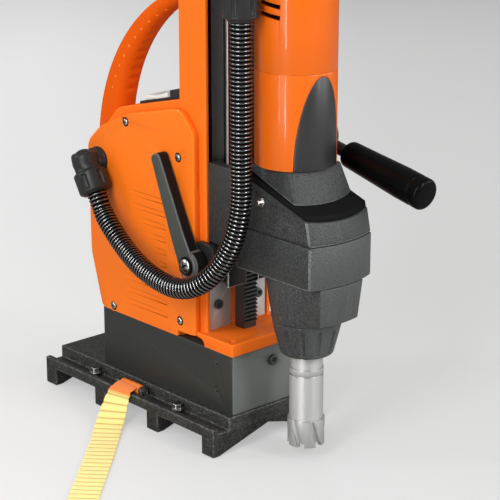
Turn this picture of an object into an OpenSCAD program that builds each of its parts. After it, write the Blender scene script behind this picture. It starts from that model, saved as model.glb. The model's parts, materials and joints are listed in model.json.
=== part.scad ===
// Drill stand on a pipe saddle, held by a tension strap.
// Millimetres. X points forward to the cutter, Z up, and the origin lies
// under the middle of the saddle at the level of its feet.

/* [Saddle] */
// Length of the saddle along the pipe
saddle_l = 262; // [240:1:320]
// Width of the saddle over its rims
saddle_w = 140; // [134:1:170]
// Height of the seat above the feet
seat_z = 35; // [33:1:45]
// Width of the raised seat
seat_w = 100; // [94:1:106]
// Thickness of the seat plate
seat_t = 10; // [8:1:12]
// Height of the rim's top above the feet
rim_z = 28; // [25:1:32]
// Thickness of the rim wall
rim_t = 6; // [4:0.5:8]
// Height of the rim wall
rim_h = 10; // [8:1:12]
// Thickness of the trough floor
trough_t = 5; // [4:0.5:6]
// Thickness of each cross rib
rib_t = 17; // [12:1:24]
// Number of cross ribs
rib_n = 4; // [3:1:6]
// Width of the flat tip of each foot
foot_tip_w = 8; // [5:1:12]
// Slope of the two flanks that straddle the pipe, in degrees
v_slope = 15.5; // [10:0.5:16]

/* [Magnet] */
// Length of the magnet
magnet_l = 195; // [180:1:210]
// Width of the magnet
magnet_w = 90; // [84:1:92]
// Height of the magnet
magnet_h = 59; // [50:1:70]
// Set-back of the magnet from the saddle's front end
magnet_inset = 2; // [0:0.5:6]
// Radius of the two accessory holes in each side
side_hole_r = 2.1; // [1.6:0.1:3]
// Distance between the two accessory holes
side_hole_gap = 27; // [20:1:34]

/* [Stand] */
// Width of the stand casting without its covers
body_w = 80; // [78:1:82]
// Length of the body behind the upright
body_l = 132; // [120:1:140]
// Height of the body at the upright
body_h = 220; // [200:1:240]
// Height of the body's rear shoulder
body_back_h = 154; // [140:1:160]
// Slope of the body's top, in degrees
body_top_slope = 14; // [8:1:18]
// Wall thickness of the body
wall_t = 5; // [4:0.5:7]
// Thickness of each side cover
cover_t = 7; // [5:0.5:9]
// Thickness of the foot plate
foot_t = 10; // [8:0.5:14]
// Rise of the front deck above the foot plate
deck_rise = 2; // [0:0.5:4]
// Width of the foot plate at the front
foot_w = 92; // [88:1:94]
// Depth of the upright from back to front
upright_d = 28; // [24:1:34]
// Height of the upright above the foot plate
upright_h = 376; // [360:1:420]
// Distance from the rail's back to the magnet's front
rail_setback = 49; // [44:1:56]
// Depth of the cheeks beside the rail
cheek_d = 9; // [6:0.5:10]
// Thickness of the cheeks
cheek_t = 4; // [3:0.5:6]

/* [Handle] */
// Radius of the handle arch on its outer side
arch_r = 187; // [183:1:191]
// Depth by which the handle's inner arc is smaller than its outer arc
arch_depth = 24; // [21:0.5:27]
// Width of the handle across the hand
arch_w = 26; // [20:1:32]
// Corner radius of the handle's section on its outer side
arch_corner = 4; // [2:0.5:6]
// Corner radius of the handle's section where the fingers lie
arch_inner_corner = 10.5; // [6:0.5:12]

/* [Rail and feed] */
// Width of the dovetail rail
rail_w = 60; // [54:1:62]
// Depth of the rail from back to front
rail_d = 28; // [26:1:32]
// Width of the rack and its groove
rack_w = 15; // [12:1:18]
// Module of the rack and its pinion
rack_m = 1.25; // [1:0.25:1.25]
// Teeth on the feed pinion
pinion_n = 14; // [14:1:14]
// Radius of the pinion shaft
pinion_shaft_r = 5; // [4:0.25:5.5]
// Height of the carriage
carriage_h = 76; // [70:1:90]
// Width of the carriage
carriage_w = 79.2; // [76:0.2:79.2]
// Height of the carriage above the foot plate at rest
carriage_lift = 92; // [88:1:110]
// Thickness of the gib strip
gib_t = 3.4; // [2.5:0.1:4]

/* [Gear head] */
// Width of the gear head
head_w = 77; // [74:0.5:79]
// Height of the lower half of the gear head
head_lower_h = 40; // [38:1:46]
// Drop of the gear head below the carriage
head_drop = 16; // [12:1:20]
// Reach of the gear head in front of the spindle
head_reach = 50; // [44:1:56]
// Bulge of the gear head's front
head_bulge = 8; // [5:0.5:12]
// Slope of the gear head's top, in degrees
head_slope = 18; // [14:1:20]
// Thickness of the seal on the gear head's top
seal_t = 5; // [3:0.5:6]
// Height of the motor's foot above the carriage
neck_h = 8; // [7:0.5:12]
// Height of the nose housing
nose_h = 43; // [38:1:48]
// Radius of the nose housing at its top
nose_r = 38.3; // [36:0.1:38.4]
// Height of the nose cone
cone_h = 33; // [28:1:38]
// Radius of the nose cone at its top
cone_r = 32.3; // [28:0.1:34]
// Radius of the nose cone at its mouth
cone_mouth_r = 24.5; // [22:0.5:27]
// Module of the reduction gears
gear_m = 1; // [1:0.25:1]
// Teeth on the armature's pinion
armature_n = 10; // [10:1:10]
// Teeth on the spindle's gear
spindle_n = 24; // [24:2:28]

/* [Motor] */
// Radius of the motor housing
motor_r = 37; // [36:0.5:40]
// Wall thickness of the motor housing
motor_wall = 3; // [2.5:0.25:3.5]
// Height of the lower motor housing
motor_lower_h = 86; // [80:1:95]
// Height of the upper motor housing
motor_upper_h = 114; // [106:1:126]
// Height of the motor's end cap
motor_cap_h = 26; // [20:1:34]
// Half width of the arched insert at its foot
insert_half_w = 25; // [18:0.5:27]

/* [Spindle and cutter] */
// Radius of the spindle at its lower bearing
spindle_r = 12; // [11:0.25:13]
// Radius of the cutter's shank
shank_r = 9.5; // [8:0.25:9.5]
// Radius of the cutter's body
cutter_r = 15.7; // [14:0.1:17]
// Wall thickness of the cutter's body
cutter_wall = 3; // [2.5:0.25:4]
// Length of the cutter below its collar
cutter_l = 76; // [60:1:80]
// Number of teeth and flutes on the cutter
cutter_n = 6; // [4:1:8]
// Radius of the pilot pin
pilot_r = 3.2; // [2.5:0.1:4]

/* [Capstan] */
// Radius of the capstan hub
hub_r = 22; // [20:0.5:24]
// Length of the capstan hub
hub_l = 44; // [40:1:50]
// Radius of the spokes
spoke_r = 6; // [5:0.25:7]
// Distance from the capstan's axis to the start of each grip
grip_start = 47; // [42:1:60]
// Length of each grip
grip_l = 100; // [80:1:110]
// Largest radius of each grip
grip_r = 15; // [12:0.5:16]
// Angle of the front spoke below the horizontal, in degrees
spoke_dip = 11.6; // [0:0.1:20]

/* [Clamp lever] */
// Length of the lever from its screw to its tip
lever_l = 108; // [90:1:120]
// Radius of the lever's hub
lever_hub_r = 13; // [11:0.5:14]
// Thickness of the lever's arm
lever_t = 12; // [9:0.5:13]
// Height of the lever's screw above the foot plate
lever_lift = 72; // [66:1:80]
// Backward lean of the lever, in degrees
lever_lean = 23.7; // [10:0.1:35]

/* [Conduit] */
// Outer radius of the ribbed conduit
conduit_r = 11; // [9.5:0.25:11.5]
// Inner radius of the ribbed conduit
conduit_bore_r = 7; // [5:0.25:7.5]
// Depth of the conduit's ribs
conduit_rib_d = 1.8; // [1:0.1:2]
// Number of ribs along the conduit
conduit_ribs = 116; // [60:1:130]

/* [Strap] */
// Width of the strap
strap_w = 28; // [24:1:30]
// Thickness of the strap
strap_t = 1.8; // [1.4:0.1:2]
// Clear gap between the turns of the rolled strap
roll_gap = 0.6; // [0.5:0.05:0.8]
// Inner radius of the rolled strap
roll_core_r = 10; // [9:0.5:14]
// Number of turns in the rolled strap
roll_turns = 8; // [5:1:8]
// Radius of the bar that anchors the strap
bar_r = 3; // [2.5:0.25:3.25]

/* [Fits] */
// Radial play of a shaft in its bore
shaft_play = 0.05; // [0.02:0.01:0.08]
// Play of the carriage on its rail
slide_play = 0.15; // [0.1:0.01:0.25]
// Gap between bodies that pass each other
pass_gap = 0.4; // [0.3:0.05:0.6]

/* [Hidden] */
$fn = 64;

// Heights of the fixed pieces, from the feet upwards
trough_z0 = rim_z - rim_h;
trough_z1 = trough_z0 + trough_t;
apex_z = (saddle_w / 2 - foot_tip_w) * tan(v_slope);
magnet_z1 = seat_z + magnet_h;
foot_z1 = magnet_z1 + foot_t;
upright_z1 = foot_z1 + upright_h;
deck_z = foot_z1 + deck_rise;

// Places along the machine
magnet_x1 = saddle_l / 2 - magnet_inset;
magnet_x0 = magnet_x1 - magnet_l;
foot_x1 = magnet_x1 + 2;
upright_x1 = magnet_x1 - rail_setback;
upright_x0 = upright_x1 - upright_d;
cheek_x1 = upright_x1 + cheek_d;
body_x0 = upright_x0 - body_l;
rail_x1 = upright_x1 + rail_d;

// Dovetail of the rail: neck and lip
neck_x = upright_x1 + 12;
neck_half = rail_w / 2 - 9;
lip_x = rail_x1 - 2;
rail_base_x = upright_x1 + 6;
rail_z0 = foot_z1 + 49;
rail_z1 = upright_z1 - 4;

// Feed pinion and carriage
pinion_x = rail_x1 + pinion_shaft_r + 2;
pitch_x = pinion_x - rack_m * pinion_n / 2;
pinion_tip_r = rack_m * (pinion_n / 2 + 1);
carriage_x0 = cheek_x1 + 2;
carriage_x1 = pinion_x + pinion_tip_r + pass_gap + 2.1;
carriage_z0 = foot_z1 + carriage_lift;
carriage_z1 = carriage_z0 + carriage_h;
pinion_z = carriage_z1 + pinion_tip_r + 2;
tower_z1 = pinion_z + pinion_tip_r + 4;
tower_y0 = -24;
tower_y1 = body_w / 2 + 1;

// Motor, gears and spindle
motor_x = carriage_x1 + motor_r + 0.5;
spindle_x = motor_x + gear_m * (armature_n + spindle_n) / 2;
head_z0 = carriage_z0 - head_drop;
head_z1 = head_z0 + head_lower_h;
head_x1 = spindle_x + head_reach;
head_front_r = (pow(head_w / 2, 2) + pow(head_bulge, 2)) / (2 * head_bulge);
motor_z0 = carriage_z1 + neck_h;
motor_z1 = motor_z0 + motor_lower_h;
motor_z2 = motor_z1 + motor_upper_h;
motor_z3 = motor_z2 + motor_cap_h;
gear_z0 = head_z0 + 10;
gear_t = 12;
gear_z1 = gear_z0 + gear_t + 3;
nose_z0 = head_z0 - nose_h;
cone_z0 = nose_z0 - cone_h;
spindle_z0 = cone_z0 - 3;
cutter_z1 = spindle_z0 - 11;
cutter_z0 = cutter_z1 - cutter_l;
bearing_t = 8;
lower_bearing_z = nose_z0 + 13;
lower_bearing_r = 21;
upper_bearing_z = gear_z1 + 1;
armature_r = 3.5;
spindle_top_r = 8;
upper_bearing_r = gear_m * (armature_n + spindle_n) / 2 - armature_r - 1.1;
armature_bearing_r = 11;
armature_bearing_z0 = head_top(motor_x) - bearing_t - 2;
armature_bearing_z1 = motor_z2 - 32;

// Lever, capstan and strap anchors
lever_x = upright_x1 + cheek_d / 2;
lever_z = foot_z1 + lever_lift;
lever_screw_r = 3;
lever_y0 = -body_w / 2 - cover_t - lever_t - 1;
hub_y0 = tower_y1 + pass_gap;
spoke_y = hub_y0 + hub_l - 14;
spoke_angles = [-spoke_dip, 120 - spoke_dip, 240 - spoke_dip];
trough_y = (seat_w / 2 + saddle_w / 2 - rim_t) / 2;
bar_x = -5;
bar_ear = 4;
eye_r = bar_r + 0.3 + strap_t;
bar_z = trough_z1 + eye_r + 0.4;

// Control panel on the sloped top of the body
panel_l = 72;
panel_w = 62;
panel_t = 2.5;
panel_x = upright_x0 - 0.5 - panel_l / 2 * cos(body_top_slope);

// Centres of the handle's outer and inner arcs
arch_x = upright_x0 + 26;
arch_z = foot_z1 + 138;
arch_inner_r = arch_r - arch_depth;
arch_inner_x = arch_x + 10;
arch_inner_z = arch_z + 17;

// Ends of the conduit: the lower elbow on the cover, the upper one on the motor
elbow_x = body_x0 + 18.5;
elbow_y = -body_w / 2 - cover_t - 17;
elbow_z = foot_z1 + 142.5;
elbow_tilt = 31;
elbow_l = 32;
elbow_r = 13;
gland_r = 16;
top_x = motor_x - 11.5;
top_y = -motor_r - 18;
top_z = motor_z1 + 46;

// Route of the conduit, chosen by hand between its two ends
conduit_start = [elbow_x + elbow_l * sin(elbow_tilt), elbow_y, elbow_z - elbow_l * cos(elbow_tilt)];
conduit_dir = [sin(elbow_tilt), 0, -cos(elbow_tilt)];
conduit_route = [
    conduit_start, conduit_start + 11 * conduit_dir, conduit_start + 22 * conduit_dir,
    [-20, -65.5, 189], [4, -68, 174.5], [32, -72.5, 165], [60.5, -75.2, 159.5], [85.5, -75.2, 158],
    [107, -73, 163.2], [123.6, -69, 174.2], [137, -63.5, 191], [147, -60, 211], [152, -57, 232],
    [top_x, top_y, 254], [top_x, top_y, 290], [top_x, top_y, 330], [top_x, top_y, 370],
    [top_x, top_y, top_z - 22], [top_x, top_y, top_z - 11], [top_x, top_y, top_z]
];

// Route of the strap from its bar over the rim and along the floor, chosen by hand
strap_route = [
    [bar_x, -trough_y - 5, bar_z + eye_r - 1.1], [-5, -66.5, rim_z + 2.9], [-5, -71.2, rim_z + 1],
    [-4.5, -75, 24], [-3, -80, 16.8], [1, -87, 9.5], [8, -96, 4.4], [18, -107, 1.9], [32, -121, 1],
    [64, -154, 1], [100, -192, 1], [136, -230, 1], [172, -268, 1], [210, -308, 1], [246, -346, 1]
];
strap_turn = 43.5;

// Rolled end of the strap
roll_pitch = strap_t + roll_gap;
roll_outer_r = roll_core_r + roll_turns * roll_pitch;
roll_dir = [sin(strap_turn), -cos(strap_turn), 0];
roll_centre = strap_route[len(strap_route) - 1] + 0.4 * roll_dir
    + [0, 0, roll_outer_r + strap_t / 2 - strap_route[len(strap_route) - 1][2]];

// Ratchet on the far rim
spool_r = 7;
spool_half = 17;
plate_t = 2.5;
ratchet_y = trough_y + 14;
ratchet_z = rim_z + 18;
ratchet_wheel_r = 13;
ratchet_arm_l = 72;
ratchet_x = -22;

function unit(v) = v / norm(v);

// Height of the gear head's sloped top at x
function head_top(x) = carriage_z1 - (x - carriage_x1) * tan(head_slope);

// Height of the body's sloped top at x
function body_top(x) = foot_z1 + body_h - (upright_x0 - x) * tan(body_top_slope);

// Arc through one corner of an outline
function corner(p, a, b, r, n = 6) =
    let (u = unit(a - p), w = unit(b - p), half = acos(u * w) / 2)
    let (c = p + unit(u + w) * r / sin(half), s = p + u * r / tan(half) - c, e = p + w * r / tan(half) - c)
    let (start = atan2(s[1], s[0]), sweep = atan2(s[0] * e[1] - s[1] * e[0], s * e))
    [for (i = [0:n]) c + r * [cos(start + sweep * i / n), sin(start + sweep * i / n)]];

// An outline with each corner rounded to its own radius
function rounded(p, r) =
    let (n = len(p))
    [for (i = [0:n - 1]) each r[i] <= 0 ? [p[i]] : corner(p[i], p[(i + n - 1) % n], p[(i + 1) % n], r[i])];

// A rectangle from two corners
function rect(lo, hi) = [lo, [hi[0], lo[1]], hi, [lo[0], hi[1]]];

// Smooth curve through a route's points, with n steps between them
function smooth(p, n) =
    [for (i = [0:len(p) - 2], k = [0:n - 1])
        let (a = p[max(i - 1, 0)], b = p[i], c = p[i + 1], d = p[min(i + 2, len(p) - 1)], t = k / n)
        0.5 * (2 * b + (c - a) * t + (2 * a - 5 * b + 4 * c - d) * t * t + (3 * b - a - 3 * c + d) * t * t * t),
     p[len(p) - 1]];

// Length along a line of points, up to each of them
function lengths(p) =
    [for (i = 0, s = 0; i < len(p); s = s + (i + 1 < len(p) ? norm(p[i + 1] - p[i]) : 0), i = i + 1) s];

// Points spaced evenly along a curve
function even(p, n) =
    let (s = lengths(p), total = s[len(s) - 1])
    let (tables = [for (k = [0:2]) [for (i = [0:len(p) - 1]) [s[i], p[i][k]]]])
    [for (i = [0:n]) [for (k = [0:2]) lookup(total * i / n, tables[k])]];

// Direction of a line of points at one of them
function heading(p, i) = unit(p[min(i + 1, len(p) - 1)] - p[max(i - 1, 0)]);

// One ring of points square to a line
function ring(p, i, r, sides) =
    let (t = heading(p, i), u = unit(cross([0, 1, 0], t)), w = cross(t, u))
    [for (k = [0:sides - 1]) p[i] + r * (cos(360 * k / sides) * u + sin(360 * k / sides) * w)];

// Triangles of the skin between rings that follow each other, from point first on
function skin(rings, sides, first, flip) =
    [for (j = [0:rings - 2], k = [0:sides - 1])
        let (a = first + j * sides + k, b = first + j * sides + (k + 1) % sides)
        each flip
            ? [[a, a + sides, b], [b, a + sides, b + sides]]
            : [[a, b, a + sides], [b, b + sides, a + sides]]];

// Triangles of the rim between two rings of points
function rim(outer, inner, sides, flip) =
    [for (k = [0:sides - 1])
        let (n = (k + 1) % sides)
        each flip ? [[outer + k, inner + k, outer + n], [outer + n, inner + k, inner + n]]
                  : [[outer + k, outer + n, inner + k], [outer + n, inner + n, inner + k]]];

// Outline of an involute gear with one tooth on the first axis
function involute(base, r) = let (t = sqrt(max(r * r / base / base - 1, 0))) t * 180 / PI - atan(t);
function gear_points(m, n, tip, root, play) =
    let (pitch_r = m * n / 2, base = pitch_r * cos(20), low = max(root, base))
    let (half = 90 / n - play / pitch_r * 90 / PI, shift = involute(base, pitch_r))
    [for (i = [0:n - 1], side = [-1, 1], k = [0:5])
        let (q = side < 0 ? k : 5 - k, r = q == 0 ? root : low + (tip - low) * (q - 1) / 4)
        let (a = 360 * i / n + side * (half + shift - involute(base, max(r, base))))
        [r * cos(a), r * sin(a)]];

// Outline of the rack with a gap between teeth at height z
function rack_points(z_low, z_high, z) =
    let (step = PI * rack_m, add = 0.75 * rack_m, ded = 1.25 * rack_m, half = step / 4 - 0.14)
    let (first = ceil((z_low + step - z) / step), last = floor((z_high - step - z) / step))
    [[neck_x, z_low], [pitch_x - ded, z_low],
     for (i = [first:last - 1]) let (c = z + (i + 0.5) * step)
        each [[pitch_x - ded, c - half - ded * tan(20)], [pitch_x + add, c - half + add * tan(20)],
              [pitch_x + add, c + half - add * tan(20)], [pitch_x - ded, c + half + ded * tan(20)]],
     [pitch_x - ded, z_high], [neck_x, z_high]];

module block(lo, hi) {
    translate(lo) cube(hi - lo);
}

module both_sides() {
    children();
    mirror([0, 1, 0]) children();
}

module rod_x(y, z, r, x0, x1) {
    translate([x0, y, z]) rotate([0, 90, 0]) cylinder(r = r, h = x1 - x0);
}

module rod_y(x, z, r, y0, y1) {
    translate([x, y0, z]) rotate([-90, 0, 0]) cylinder(r = r, h = y1 - y0);
}

module rod_z(x, r, z0, z1) {
    translate([x, 0, z0]) cylinder(r = r, h = z1 - z0);
}

module ring_z(x, r, bore, z0, z1) {
    difference() {
        rod_z(x, r, z0, z1);
        rod_z(x, bore, z0 - 1, z1 + 1);
    }
}

// A plate with an outline in X and Z
module slab_xz(p, y0, y1) {
    translate([0, y1, 0]) rotate([90, 0, 0]) linear_extrude(y1 - y0) polygon(p);
}

// A plate with an outline in Y and Z
module slab_yz(p, x0, x1) {
    translate([x0, 0, 0]) rotate([90, 0, 90]) linear_extrude(x1 - x0) polygon(p);
}

// A post with an outline in X and Y
module post(p, z0, z1) {
    translate([0, 0, z0]) linear_extrude(z1 - z0) polygon(p);
}

rib_xs = [for (i = [0:rib_n - 1]) (i / (rib_n - 1) - 0.5) * (saddle_l - rib_t)];
seat_bolt_x = 64;
seat_bolt_r = 3;

module cross_rib(x) {
    half = saddle_w / 2;
    web = seat_w / 2 - 1;
    slab_yz([
        [-half, trough_z0 + 1], [-half, 0], [-half + foot_tip_w, 0], [0, apex_z], [half - foot_tip_w, 0],
        [half, 0], [half, trough_z0 + 1], [web, trough_z0 + 1], [web, seat_z - seat_t + 1],
        [-web, seat_z - seat_t + 1], [-web, trough_z0 + 1]
    ], x - rib_t / 2, x + rib_t / 2);
}

module saddle_base() {
    half = saddle_l / 2;
    ear_x = strap_w / 2 + 1.5;
    color("dimgray") difference() {
        union() {
            block([-half, -seat_w / 2, seat_z - seat_t], [half, seat_w / 2, seat_z]);
            both_sides() {
                block([-half, seat_w / 2 - rim_t, trough_z0], [half, saddle_w / 2, trough_z1]);
                block([-half, saddle_w / 2 - rim_t, trough_z0], [half, saddle_w / 2, rim_z]);
                block([-half, seat_w / 2 - rim_t, trough_z0], [half, seat_w / 2, seat_z]);
            }
            for (x = rib_xs) cross_rib(x);
            block([-half, -rim_t / 2, apex_z + 1], [half, rim_t / 2, seat_z - seat_t + 1]);
            for (s = [-1, 1]) translate([bar_x + s * (ear_x + bar_ear / 2), -trough_y, 0])
                block([-bar_ear / 2, -5, trough_z1 - 1], [bar_ear / 2, 5, bar_z + bar_r + 1]);
        }
        rod_x(-trough_y, bar_z, bar_r + shaft_play, bar_x - 30, bar_x + 30);
        both_sides() for (s = [-1, 1]) translate([s * seat_bolt_x, trough_y, trough_z0 - 1])
            cylinder(r = seat_bolt_r + shaft_play, h = trough_t + 2);
    }
}

module seat_bolts() {
    color("darkgray") both_sides() for (s = [-1, 1]) translate([s * seat_bolt_x, trough_y, 0]) {
        translate([0, 0, trough_z0]) cylinder(r = seat_bolt_r, h = trough_t);
        translate([0, 0, trough_z1]) cylinder(r = seat_bolt_r + 3, h = 4.5);
        translate([0, 0, trough_z1 + 4.5]) cylinder(r = seat_bolt_r + 2, h = 4.5, $fn = 6);
    }
}

module strap_bar() {
    half = strap_w / 2 + 1.5 + bar_ear;
    color("silver") rod_x(-trough_y, bar_z, bar_r, bar_x - half, bar_x + half);
}

module strap_eye() {
    half = strap_w / 2;
    color("orangered") difference() {
        rod_x(-trough_y, bar_z, eye_r, bar_x - half, bar_x + half);
        rod_x(-trough_y, bar_z, bar_r + 0.3, bar_x - half - 1, bar_x + half + 1);
    }
}

// Width direction of the strap, which turns towards its run along the floor
function strap_side(i, n) =
    let (a = strap_turn * max(0, min(1, (i / n - 0.12) / 0.34)))
    [cos(a), sin(a), 0];

module strap_run() {
    p = smooth(strap_route, 3);
    n = len(p) - 1;
    points = [for (i = [0:n])
        let (t = heading(p, i), raw = strap_side(i, n), w = unit(raw - (raw * t) * t), up = cross(w, t))
        each [for (c = [[-1, -1], [1, -1], [1, 1], [-1, 1]])
            p[i] + c[0] * strap_w / 2 * w + c[1] * strap_t / 2 * up]];
    faces = concat(skin(n + 1, 4, 0, false), [[2, 1, 0], [3, 2, 0]],
        [[4 * n, 4 * n + 1, 4 * n + 2], [4 * n, 4 * n + 2, 4 * n + 3]]);
    color("gold") polyhedron(points, [for (f = faces) [f[2], f[1], f[0]]]);
}

// One unbroken spiral of the strap, from its heart to where it leaves the roll
roll_steps = 24 * roll_turns;
function roll_point(i, side) =
    let (a = 360 * i / 24, r = roll_core_r + roll_pitch * i / 24 + side * strap_t / 2)
    [-r * sin(a), -r * cos(a)];

module strap_roll() {
    inner = [for (i = [0:roll_steps]) roll_point(i, -1)];
    outer = [for (i = [0:roll_steps]) roll_point(i, 1)];
    gaps = [for (i = [0:roll_steps - 24]) norm(inner[i + 24] - outer[i])];
    echo(least_gap_in_roll = min(gaps));
    color("gold") translate(roll_centre) rotate([0, 0, strap_turn - 90]) rotate([90, 0, 0])
        translate([0, 0, -strap_w / 2]) linear_extrude(strap_w)
            polygon(concat(outer, [for (i = [roll_steps:-1:0]) inner[i]]));
}

module ratchet_frame() {
    y0 = seat_w / 2 + pass_gap;
    y1 = saddle_w / 2 - rim_t - pass_gap;
    foot_z = trough_z1 + plate_t;
    wide = ratchet_y + 12;
    color("lightsteelblue") translate([ratchet_x, 0, 0]) difference() {
        union() {
            block([-spool_half - plate_t, y0, trough_z1], [spool_half + plate_t, y1, foot_z]);
            for (s = [-1, 1]) slab_yz([
                [y0, trough_z1], [y1, trough_z1], [y1, rim_z + pass_gap], [wide, rim_z + pass_gap],
                [wide, ratchet_z + 4], [ratchet_y + 4, ratchet_z + 11], [ratchet_y - 6, ratchet_z + 11],
                [y0, foot_z + 6]
            ], s > 0 ? spool_half : -spool_half - plate_t, s > 0 ? spool_half + plate_t : -spool_half);
        }
        rod_x(ratchet_y, ratchet_z, spool_r + shaft_play, -40, 40);
    }
}

module ratchet_spool() {
    reach = spool_half + plate_t + 9;
    color("gainsboro") translate([ratchet_x, 0, 0]) difference() {
        union() {
            rod_x(ratchet_y, ratchet_z, spool_r, -reach, reach);
            for (s = [-1, 1]) translate([s * (spool_half + plate_t + 2.2), ratchet_y, ratchet_z])
                rotate([0, 90, 0]) translate([0, 0, -1.5]) linear_extrude(3)
                    polygon([for (i = [0:11]) each [
                        ratchet_wheel_r * [cos(30 * i), sin(30 * i)],
                        (ratchet_wheel_r - 3) * [cos(30 * i + 6), sin(30 * i + 6)]]]);
        }
        block([-spool_half + 2, ratchet_y - 10, ratchet_z - 1.4],
            [spool_half - 2, ratchet_y + 10, ratchet_z + 1.4]);
    }
}

module ratchet_handle() {
    x0 = spool_half + plate_t + 4.4;
    top = ratchet_z + ratchet_arm_l;
    color("lightsteelblue") translate([ratchet_x, 0, 0]) difference() {
        union() {
            for (s = [-1, 1]) slab_yz(rounded([
                [ratchet_y - 11, ratchet_z - 11], [ratchet_y + 11, ratchet_z - 11],
                [ratchet_y + 9, top], [ratchet_y - 5, top]
            ], [10, 10, 6, 6]), s > 0 ? x0 : -x0 - plate_t, s > 0 ? x0 + plate_t : -x0);
            rod_x(ratchet_y + 2, top - 8, 6, -x0 - plate_t, x0 + plate_t);
            block([-x0 - plate_t, ratchet_y + 3, ratchet_z + 34], [x0 + plate_t, ratchet_y + 6, top - 8]);
        }
        rod_x(ratchet_y, ratchet_z, spool_r + shaft_play, -40, 40);
    }
}

module magnet_block() {
    half = magnet_w / 2;
    hole_x = magnet_x1 - 22;
    hole_z = seat_z + 20;
    color("#2b2b2d") difference() {
        post(rounded(rect([magnet_x0, -half], [magnet_x1, half]), [4, 4, 4, 4]), seat_z, magnet_z1);
        difference() {
            block([magnet_x0 + 14, -half + 14, seat_z - 1], [magnet_x1 - 14, half - 14, seat_z + 36]);
            block([magnet_x0 + 34, -half + 30, seat_z - 2], [magnet_x1 - 34, half - 30, seat_z + 37]);
        }
        for (z = [hole_z, hole_z + side_hole_gap]) rod_y(hole_x, z, side_hole_r, -half - 1, -half + 12);
        rod_x(plug_y, magnet_z1 - 15, 3 + shaft_play, magnet_x1 - 10, magnet_x1 + 1);
    }
}

module magnet_coil() {
    half = magnet_w / 2;
    play = 0.2;
    color("peru") difference() {
        block([magnet_x0 + 14 + play, -half + 14 + play, seat_z + 1],
            [magnet_x1 - 14 - play, half - 14 - play, seat_z + 36]);
        block([magnet_x0 + 34 - play, -half + 30 - play, seat_z],
            [magnet_x1 - 34 + play, half - 30 + play, seat_z + 37]);
    }
}

plug_y = 6;

module magnet_plug() {
    color("#3a3a3c") {
        rod_x(plug_y, magnet_z1 - 15, 3, magnet_x1 - 9, magnet_x1);
        difference() {
            rod_x(plug_y, magnet_z1 - 15, 5, magnet_x1, magnet_x1 + 3);
            translate([magnet_x1 + 1, plug_y, magnet_z1 - 15]) rotate([0, 90, 0])
                cylinder(r = 2.6, h = 3, $fn = 6);
        }
    }
}

// Outline of the body behind the upright, drawn in by s and lowered by drop at its top
function body_outline(s, drop) = rounded([
    [body_x0 + 14 + s, foot_z1], [body_x0 + s, foot_z1 + 46], [body_x0 + s, foot_z1 + body_back_h - drop],
    [body_x0 + 40 + s, body_top(body_x0 + 40) - drop], [upright_x0, body_top(upright_x0) - drop],
    [upright_x0, foot_z1]
], [0, 20, 16, 24, 0, 0]);

// Places of the screws in each side cover, in X and Z
screw_top = [body_x0 + 60, body_top(body_x0 + 60) - 15];
cover_screw_places = [
    screw_top, [upright_x0 + 5, foot_z1 + body_h - 53],
    [body_x0 + 35, foot_z1 - 4], [upright_x0 + 5, foot_z1 + 7]
];
cover_screw_r = 2;
cover_screw_head_r = 4.2;

module stand_casting() {
    half = body_w / 2;
    color("#f26a12") difference() {
        union() {
            difference() {
                slab_xz(body_outline(0, 0), -half, half);
                slab_xz(body_outline(wall_t + 2, wall_t + 17), -half - 1, half + 1);
            }
            block([body_x0 + 16, -half, magnet_z1], [upright_x1, half, foot_z1]);
            block([upright_x1, -foot_w / 2, magnet_z1], [foot_x1, foot_w / 2, deck_z]);
            block([upright_x0, -half, foot_z1 - 1], [upright_x1, half, upright_z1]);
            both_sides() block([upright_x1 - 1, half - cheek_t, foot_z1 - 1], [cheek_x1, half, upright_z1]);
        }
        block([upright_x0 + wall_t, -half + wall_t + 1, foot_z1 + 250],
            [upright_x1 - wall_t, half - wall_t - 1, upright_z1 + 1]);
        rod_y(lever_x, lever_z, lever_screw_r + shaft_play, -half - 1, -half + cheek_t + 1);
        both_sides() for (p = cover_screw_places)
            rod_y(p[0], p[1], cover_screw_r + shaft_play, half - 12, half + 1);
        both_sides() translate([foot_x1 - 9, foot_w / 2 - 8, deck_z - 6]) cylinder(r = 2.1, h = 7);
        foot_recess();
    }
}

cover_x1 = upright_x1 - 0.3;
cover_z0 = magnet_z1 + 0.5;
vent_x1 = upright_x0 - 14.5;
vent_h = 5.2;
vent_d = 1.5;
vent_pitch = 12.45;
vent_z0 = foot_z1 + 7.8;

// Left ends of the vents from the lowest up: three long ones, then a slanting row
vent_starts = [for (dx = [-65, -62, -64, -12, -10, -18, -25, -37, -53, -57]) vent_x1 + dx];

// Scoop in the cover that deepens from its left end at x0 to its round right end
module vent_scoop(x0, z) {
    y1 = body_w / 2 + cover_t;
    post([[x0, y1], [vent_x1, y1 - vent_d], [vent_x1, y1 + 1], [x0, y1 + 1]], z - vent_h / 2, z + vent_h / 2);
    rod_y(vent_x1, z, vent_h / 2, y1 - vent_d, y1 + 1);
}

module side_cover() {
    y0 = body_w / 2;
    y1 = y0 + cover_t;
    difference() {
        slab_xz(rounded([
            [body_x0 + 17, cover_z0], [body_x0 + 1, foot_z1 + 46], [body_x0, foot_z1 + body_back_h + 4],
            [body_x0 + 20, body_top(body_x0 + 20) - 16], [body_x0 + 64, body_top(body_x0 + 64) - 7],
            [upright_x0 + 8, body_top(upright_x0) - 6], [cover_x1, foot_z1 + body_h - 27],
            [cover_x1, cover_z0]
        ], [8, 40, 16, 30, 40, 16, 16, 2]), y0, y1);
        for (i = [0:len(vent_starts) - 1]) vent_scoop(vent_starts[i], vent_z0 + vent_pitch * i);
        for (p = cover_screw_places) {
            rod_y(p[0], p[1], cover_screw_r + 0.1, y0 - 1, y1 + 1);
            rod_y(p[0], p[1], cover_screw_head_r + shaft_play, y1 - 2.5, y1 + 1);
        }
    }
}

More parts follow.
